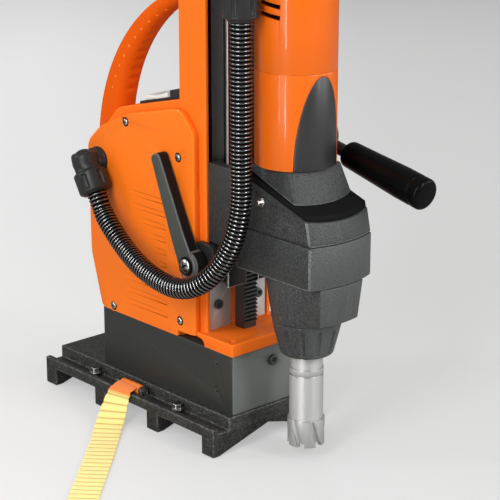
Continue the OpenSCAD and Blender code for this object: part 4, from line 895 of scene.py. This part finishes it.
def cross_prism(name, reach, half, low, high):
    """An upright prism with a cross for its outline."""
    bm = bmesh.new()
    rings = []
    for z in (low, high):
        turns = [Matrix.Rotation(math.pi / 2 * k, 2) for k in range(4)]
        corners = [turn @ Vector(c) for turn in turns for c in ((reach, -half), (reach, half), (half, half))]
        rings.append([bm.verts.new((*c, z)) for c in corners])
    skin_rings(bm, rings)
    return to_mesh(bm, name, outward=True)


def cross_head(name, radius, height, slot):
    """A domed screw head with a cross recess, and a dark piece of painted shade on that recess's floor. The
    seat is at the origin.
    """
    steps = 6
    dome = [(radius, 0.0), (radius, 0.35 * height)]
    for i in range(1, steps + 1):
        a = math.pi / 2 * i / steps
        dome.append((radius * (0.30 + 0.70 * math.cos(a)), height * (0.35 + 0.65 * math.sin(a))))
    deep = 0.40 * height
    half = 0.20 * slot
    head = put(name, lathe(name, [(radius * 0.5, -height), (radius * 0.5, 0.0)] + dome))
    cutter = put(name + "_cut", cross_prism(name + "_cut", slot, half, deep, 2 * height))
    cut = head.modifiers.new("Cross", "BOOLEAN")
    cut.object = cutter
    cut.solver = "EXACT"
    bpy.context.view_layer.update()
    mesh = flat_mesh(head)
    bpy.data.objects.remove(cutter)
    soften(mesh, 35)
    floor = cross_prism(name + "_floor", 0.98 * slot, 0.98 * half, deep - 0.1 * height, deep + 0.1 * height)
    return mesh, floor


def repeat_tree(name):
    """Geometry nodes: one shape at every point of a mesh, turned with the point's own facing and spin."""
    group, t, (points, shape, skin) = node_group(name, Shape="Object", Finish="Material")
    one = t.node("GeometryNodeObjectInfo", None, {"Object": shape}, out=-1)
    facing = t.node("GeometryNodeInputNamedAttribute", {"data_type": "FLOAT_VECTOR"}, {"Name": "facing"})
    spin = t.node("GeometryNodeInputNamedAttribute", {"data_type": "FLOAT"}, {"Name": "spin"})
    turned = t.node("FunctionNodeAxesToRotation", {"primary_axis": "Z", "secondary_axis": "X"},
                    {"Primary Axis": facing, "Secondary Axis": (0, 0, 1)})
    spun = t.node("FunctionNodeAxisAngleToRotation", None, {"Axis": (0, 0, 1), "Angle": spin})
    both = t.node("FunctionNodeRotateRotation", {"rotation_space": "LOCAL"}, {0: turned, 1: spun})
    many = t.node("GeometryNodeInstanceOnPoints", None, {"Points": points, "Instance": one, "Rotation": both})
    real = t.node("GeometryNodeRealizeInstances", None, {"Geometry": many})
    dressed = t.node("GeometryNodeSetMaterial", None, {"Geometry": real, "Material": skin})
    t.node("NodeGroupOutput", None, {0: dressed})
    return group


def repeated(name, shape, places, material, body, replaced=()):
    """One shape at each place, as one mesh. A place is a point, the direction it faces and its spin."""
    mesh = bpy.data.meshes.new(name + "_places")
    mesh.from_pydata([tuple(p) for p, _, _ in places], [], [])
    facing = mesh.attributes.new("facing", "FLOAT_VECTOR", "POINT")
    facing.data.foreach_set("vector", [x for _, d, _ in places for x in d])
    spin = mesh.attributes.new("spin", "FLOAT", "POINT")
    spin.data.foreach_set("value", [a for _, _, a in places])
    holder = put(name + "_holder", mesh)
    pattern = put(name + "_shape", shape)
    made = run_tree(holder, repeat_tree(name.capitalize()), Shape=pattern, Finish=finish(material))
    bpy.data.objects.remove(pattern)
    for attribute in ("facing", "spin"):
        if attribute in made.attributes:
            made.attributes.remove(made.attributes[attribute])
    return add_piece(name, made, body, replaced)


def make_screws(node, body, places, radius, height, slot, ring, endings):
    """Cross-head screws in place of a CAD node, each in a dark ring of painted shade of its own radius and
    height, with painted shade on the floor of its cross recess.
    """
    name = node.rstrip("s")
    head, floor = cross_head(name + "_cross", radius, height, slot)
    shapes = (shade_ring(name + "_washer", radius, *ring), floor, head)
    # The ring and the recess floor are dark pieces of painted shade; only the head is steel.
    finishes = ("seal_black", "seal_black", "bright_steel_x")
    stood_for = ((), (), (node,))
    for shape, material, replaced, ending in zip(shapes, finishes, stood_for, endings):
        repeated(name + ending, shape, places, material, body, replaced)


def make_cover_screws():
    """The screws of the side covers, each turned as it was left."""
    sunk = 1.2 * MM
    places = []
    for i, (lo, hi) in enumerate(islands("cover_screws")):
        sign = 1 if lo.y > 0 else -1
        outer = hi.y if sign > 0 else lo.y
        seat = Vector(((lo.x + hi.x) / 2, outer - sign * sunk, (lo.z + hi.z) / 2))
        places.append((seat, (0, sign, 0), 0.9 * i))
    make_screws("cover_screws", "stand", places, radius=3.7 * MM, height=2.4 * MM, slot=2.7 * MM,
                ring=(4.5 * MM, 1.3 * MM), endings=("_rings", "_recesses", "_heads"))


def make_lever_screw():
    """The screw on which the clamp lever turns."""
    lo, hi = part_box("lever_screw")
    sunk = 1.6 * MM
    seat = Vector(((lo.x + hi.x) / 2, lo.y + sunk, (lo.z + hi.z) / 2))
    make_screws("lever_screw", "lever", [(seat, (0, -1, 0), 0.5)], radius=7.0 * MM, height=3.2 * MM,
                slot=4.8 * MM, ring=(8.5 * MM, 1.6 * MM), endings=("_ring", "_recess", "_head"))


HANDLE_CENTRE = (78 * MM, 242 * MM)
PIP_RING = 174 * MM
PIP_FIRST, PIP_STEP = math.radians(118), math.radians(4.35)


def make_handle():
    """The cast handle with its small facets evened out, and rows of pips on both its faces."""
    z = sizes()
    holder = put("handle_holder", to_mesh(welded("handle_arch"), "handle_arch_part"))
    grid = holder.modifiers.new("Even", "REMESH")
    grid.mode = "VOXEL"
    grid.voxel_size = z.handle_grid
    ease = holder.modifiers.new("Ease", "SMOOTH")
    ease.factor = 0.5
    ease.iterations = 16
    made = flat_mesh(holder)
    made.materials.clear()
    soften(made, 80)
    skin = BVHTree.FromPolygons([v.co for v in made.vertices], [p.vertices[:] for p in made.polygons])
    add_piece("handle_arch_part", made, "stand", ("handle_arch",), ("orange_handle",))
    sunk = 0.1 * MM
    dome = lathe("pip", [(z.pip_radius * math.cos(a), 0.55 * z.pip_radius * math.sin(a) - sunk)
                         for a in (math.pi / 2 * k / 5 for k in range(5))], 12)
    places = []
    for sign in (-1, 1):
        for i in range(z.pips):
            a = PIP_FIRST + PIP_STEP * i
            outside = Vector((HANDLE_CENTRE[0] + PIP_RING * math.cos(a), sign,
                              HANDLE_CENTRE[1] + PIP_RING * math.sin(a)))
            seat, facing = skin.ray_cast(outside, Vector((0, -sign, 0)))[:2]
            places.append((seat, facing, 0.0))
    return repeated("handle_pips", dome, places, "pip_paint", "stand")


class StandPiece:
    """What the operators share: the nodes they dress, each with the width of its rounded edges in millimetres
    and its finishes, and then the nodes that they paint."""

    bl_options = {"REGISTER", "UNDO"}
    dressed = ()
    painted = ()

    def make(self):
        for node, width, *finishes in self.dressed:
            dress(node, width * MM, *finishes)
        for node, material in self.painted:
            paint(node, material)

    def execute(self, context):
        self.make()
        return {"FINISHED"}


STAND_MIDDLE = Vector((0.10, 0.0, 0.26))
# Name, azimuth and elevation in degrees, distance, width, height, power, and whether reflections show it
LAMPS = (
    ("key", -69, 34, 2.0, 0.42, 1.0, 15, True),
    ("line", -68, -0.6, 0.90, 0.025, 0.48, 1.5, True),
    ("low", -76, 8, 1.10, 0.26, 0.8, 1.0, True),
    ("strip", -86, 14, 1.20, 0.04, 1.05, 1.8, True),
    ("right", 10, 24, 2.3, 0.6, 1.2, 28, True),
    ("beyond", 48, 16, 1.7, 1.1, 0.9, 9, True),
    ("left", -130, 20, 2.3, 0.30, 1.3, 12, True),
    ("back", 150, 30, 2.4, 1.8, 1.2, 16, False),
    ("fill", -42, 30, 2.6, 2.2, 1.4, 15, False),
    ("top", -60, 84, 2.5, 1.8, 1.8, 18, False),
)


class STAND_OT_stage(StandPiece, bpy.types.Operator):
    """Sets up the camera, the lights and the floor"""

    bl_idname = "stand.stage"
    bl_label = "Stage"

    def make(self):
        s = stage_settings()
        scene = bpy.context.scene
        scene.view_settings.view_transform = "Standard"
        a, e = s.azimuth, s.elevation
        back = Vector((math.sin(a) * math.cos(e), -math.cos(a) * math.cos(e), math.sin(e)))
        camera = put("camera", bpy.data.cameras.new("camera"))
        camera.data.sensor_width = 36
        camera.data.lens = s.lens
        camera.data.clip_end = 100
        camera.location = s.place
        camera.rotation_mode = "QUATERNION"
        camera.rotation_quaternion = (-back).to_track_quat("-Z", "Y")
        scene.camera = camera
        self.world(s.sky)
        self.floor()
        for values in LAMPS:
            self.lamp(*values)

    @staticmethod
    def world(strength):
        world = bpy.data.worlds.new("studio")
        bpy.context.scene.world = world
        world.use_nodes = True
        background = world.node_tree.nodes["Background"]
        background.inputs["Color"].default_value = (1.0, 1.0, 1.0, 1)
        background.inputs["Strength"].default_value = strength

    @staticmethod
    def floor():
        reach, sunk = 7.0, 0.4 * MM
        mesh = bpy.data.meshes.new("floor")
        corners = [(x * reach, y * reach, -sunk) for x, y in ((-1, -1), (1, -1), (1, 1), (-1, 1))]
        mesh.from_pydata(corners, [], [(0, 1, 2, 3)])
        mesh.materials.append(finish("floor"))
        floor = put("floor", mesh)

    @staticmethod
    def lamp(name, azimuth, elevation, distance, wide, tall, power, mirrored):
        """A rectangular light in a direction from the middle of the stand, given in degrees."""
        a, e = math.radians(azimuth), math.radians(elevation)
        way = Vector((math.cos(a) * math.cos(e), math.sin(a) * math.cos(e), math.sin(e)))
        place = STAND_MIDDLE + distance * way
        light = bpy.data.lights.new(name, "AREA")
        light.shape = "RECTANGLE"
        light.size, light.size_y = wide, tall
        light.energy = power
        lamp = put(name, light)
        lamp.visible_camera = False
        lamp.visible_glossy = mirrored
        lamp.location = place
        lamp.rotation_mode = "QUATERNION"
        lamp.rotation_quaternion = (STAND_MIDDLE - place).to_track_quat("-Z", "Y")


class STAND_OT_strap(StandPiece, bpy.types.Operator):
    """Makes the woven strap with its loop and bar"""

    bl_idname = "stand.strap"
    bl_label = "Strap"
    dressed = (("strap_eye", 0.5, "sewn"), ("strap_bar", 0.6, "bright_steel_x"))

    def make(self):
        make_strap()
        super().make()


class STAND_OT_hose(StandPiece, bpy.types.Operator):
    """Makes the ribbed hose and its two glands"""

    bl_idname = "stand.hose"
    bl_label = "Ribbed hose"
    dressed = (("lower_elbow", 0.8, "gland_black"), ("upper_elbow", 0.8, "gland_black"))

    def make(self):
        make_hose()
        super().make()


class STAND_OT_saddle(StandPiece, bpy.types.Operator):
    """Dresses the saddle and its bolts"""

    bl_idname = "stand.saddle"
    bl_label = "Saddle"
    dressed = (
        ("saddle_base", 1.2, "saddle", "saddle_edge"), ("seat_bolts", 0.5, "dark_steel", "bright_steel"),
    )


class STAND_OT_ratchet(StandPiece, bpy.types.Operator):
    """Dresses the strap's ratchet"""

    bl_idname = "stand.ratchet"
    bl_label = "Ratchet"
    dressed = [(node, 0.5, "zinc") for node in ("ratchet_frame", "ratchet_spool", "ratchet_handle")]


class STAND_OT_magnet(StandPiece, bpy.types.Operator):
    """Dresses the magnet with its plug and coil"""

    bl_idname = "stand.magnet"
    bl_label = "Magnet"
    dressed = (("magnet_block", 0.7, "magnet_black", "satin_black_edge"), ("magnet_plug", 0.4, "dark_steel"))
    painted = (("magnet_coil", "copper"),)


VENTS_FROM = Vector((-52 * MM, 0, COVER_LOW.z + 8 * MM))
VENTS_TO = Vector((40 * MM, 0, 240 * MM))


class STAND_OT_body(StandPiece, bpy.types.Operator):
    """Dresses the stand casting, its covers and its handle"""

    bl_idname = "stand.body"
    bl_label = "Body"

    def make(self):
        dress("stand_casting", 1.0 * MM, "orange_casting", "orange_casting_edge")
        for node in ("right_cover", "left_cover"):
            # The covers' rounded edges take a painted highlight; the walls and floors of the scoops take
            # painted shade.
            dress(node, 1.3 * MM, "orange_shell", "orange_shell_edge", crisp=self.on_scoops,
                  inner=(("vent_wall", self.scoop_wall), ("vent_floor", self.scoop_floor)))
        make_handle()
        make_cover_screws()

    @staticmethod
    def on_scoops(place):
        """Whether an edge of a cover lies among the scoops of its vents."""
        return VENTS_FROM.x < place.x < VENTS_TO.x and VENTS_FROM.z < place.z < VENTS_TO.z

    @classmethod
    def scoop_wall(cls, place, facing):
        return cls.on_scoops(place) and abs(facing.y) < 0.5

    @classmethod
    def scoop_floor(cls, place, facing):
        return cls.on_scoops(place) and 0.01 < abs(facing.x) < 0.5


class STAND_OT_panel(StandPiece, bpy.types.Operator):
    """Dresses the control panel with its switch and buttons"""

    bl_idname = "stand.panel"
    bl_label = "Control panel"
    dressed = (
        ("control_panel", 0.5, "gland_black"), ("magnet_switch", 0.6, "rocker_grey"),
        ("start_button", 0.7, "green"), ("stop_button", 0.7, "red"),
    )


class STAND_OT_column(StandPiece, bpy.types.Operator):
    """Dresses the column's rail, rack and cap"""

    bl_idname = "stand.column"
    bl_label = "Column"
    dressed = (
        ("rail_feet", 0.6, "matt_steel"), ("rail_foot_screws", 0.3, "dark_steel"),
        ("column_cap", 1.5, "gland_black"), ("clamp_plate", 0.8, "satin_black"),
    )
    painted = (("feed_rack", "dark_steel"),)

    def make(self):
        lo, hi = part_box("column_rail")
        # Only the rounded edges near the rail's front and back take the lighter edge finish, a painted
        # highlight.
        dress("column_rail", 0.5 * MM, "rail_steel", "rail_edge",
              lit=lambda place, facing: place.x > hi.x - 2 * MM or place.x < lo.x + 3 * MM)
        super().make()


class STAND_OT_lever(StandPiece, bpy.types.Operator):
    """Dresses the clamp lever and its screw"""

    bl_idname = "stand.lever"
    bl_label = "Clamp lever"

    def make(self):
        dress("clamp_lever", 1.2 * MM, "lever_grey", "lever_edge")
        make_lever_screw()


class STAND_OT_head(StandPiece, bpy.types.Operator):
    """Dresses the carriage, the gear head and the nose"""

    bl_idname = "stand.head"
    bl_label = "Gear head"
    dressed = (
        ("carriage", 1.2, "carriage"), ("nose_housing", 0.9, "nose"), ("nose_cone", 0.6, "nose"),
        ("head_seal", 0.5, "seal_black"), ("coolant_nipple", 0.4, "bright_steel_y"),
    )
    painted = (("gib_strip", "bronze"), ("gib_screws", "dark_steel"))

    def make(self):
        for node, skin in (("head_upper", "head_upper"), ("head_lower", "head"), ("motor_neck", "neck")):
            # Only the upright rounded edges take the lighter edge finish, a painted highlight.
            dress(node, 1.5 * MM, skin, "head_edge", 20, lit=lambda place, facing: abs(facing.z) < 0.25)
        super().make()


class STAND_OT_motor(StandPiece, bpy.types.Operator):
    """Dresses the motor's shells and what turns inside them"""

    bl_idname = "stand.motor"
    bl_label = "Motor"
    dressed = (
        ("motor_lower", 0.5, "orange_motor"), ("motor_upper", 0.5, "orange_motor"),
        ("motor_insert", 0.4, "insert_grey"), ("motor_cap", 0.8, "gland_black"),
    )
    painted = (
        ("stator", "laminated"), ("armature", "copper"), ("motor_fan", "gland_black"),
        ("armature_bearings", "bright_steel"),
    )


class STAND_OT_spindle(StandPiece, bpy.types.Operator):
    """Dresses the spindle and the cutter"""

    bl_idname = "stand.spindle"
    bl_label = "Spindle and cutter"
    dressed = (("core_cutter", 0.3, "cutter_steel", "bright_steel"), ("spindle", 0.5, "bright_steel"))
    painted = (
        ("pilot_pin", "bright_steel"), ("spindle_gear", "dark_steel"), ("spindle_bearings", "bright_steel"),
    )


class STAND_OT_capstan(StandPiece, bpy.types.Operator):
    """Dresses the capstan and its pinion"""

    bl_idname = "stand.capstan"
    bl_label = "Capstan"
    dressed = (
        ("capstan_hub", 0.8, "gland_black"), ("capstan_spokes", 0.5, "dark_steel"),
        ("capstan_grips", 0.6, "grip_black"),
    )
    painted = (("feed_pinion", "bright_steel_y"),)


PIECES = (
    STAND_OT_stage, STAND_OT_strap, STAND_OT_hose, STAND_OT_saddle, STAND_OT_ratchet, STAND_OT_magnet,
    STAND_OT_body, STAND_OT_panel, STAND_OT_column, STAND_OT_lever, STAND_OT_head, STAND_OT_motor,
    STAND_OT_spindle, STAND_OT_capstan,
)


class STAND_PT_pieces(bpy.types.Panel):
    """Lists the pieces in the order in which they are made"""

    bl_label = "Drill stand"
    bl_space_type = "VIEW_3D"
    bl_region_type = "UI"
    bl_category = "Drill stand"

    def draw(self, context):
        for piece in PIECES:
            self.layout.operator(piece.bl_idname)
        for group in (context.scene.stand_colours, context.scene.stand_sizes, context.scene.stand_stage):
            box = self.layout.box()
            for name in group.bl_rna.properties.keys():
                if name not in ("rna_type", "name"):
                    box.prop(group, name)


GROUPS = {"stand_colours": FinishColours, "stand_sizes": PieceSizes, "stand_stage": StageSettings}


def register():
    for cls in (*GROUPS.values(), *PIECES, STAND_PT_pieces):
        bpy.utils.register_class(cls)
    for name, group in GROUPS.items():
        setattr(bpy.types.Scene, name, PointerProperty(type=group))


def unregister():
    for name in GROUPS:
        delattr(bpy.types.Scene, name)
    for cls in (STAND_PT_pieces, *reversed(PIECES), *reversed(GROUPS.values())):
        bpy.utils.unregister_class(cls)


def main():
    register()
    for piece in PIECES:
        group, name = piece.bl_idname.split(".")
        getattr(getattr(bpy.ops, group), name)()


if __name__ == "__main__":
    main()
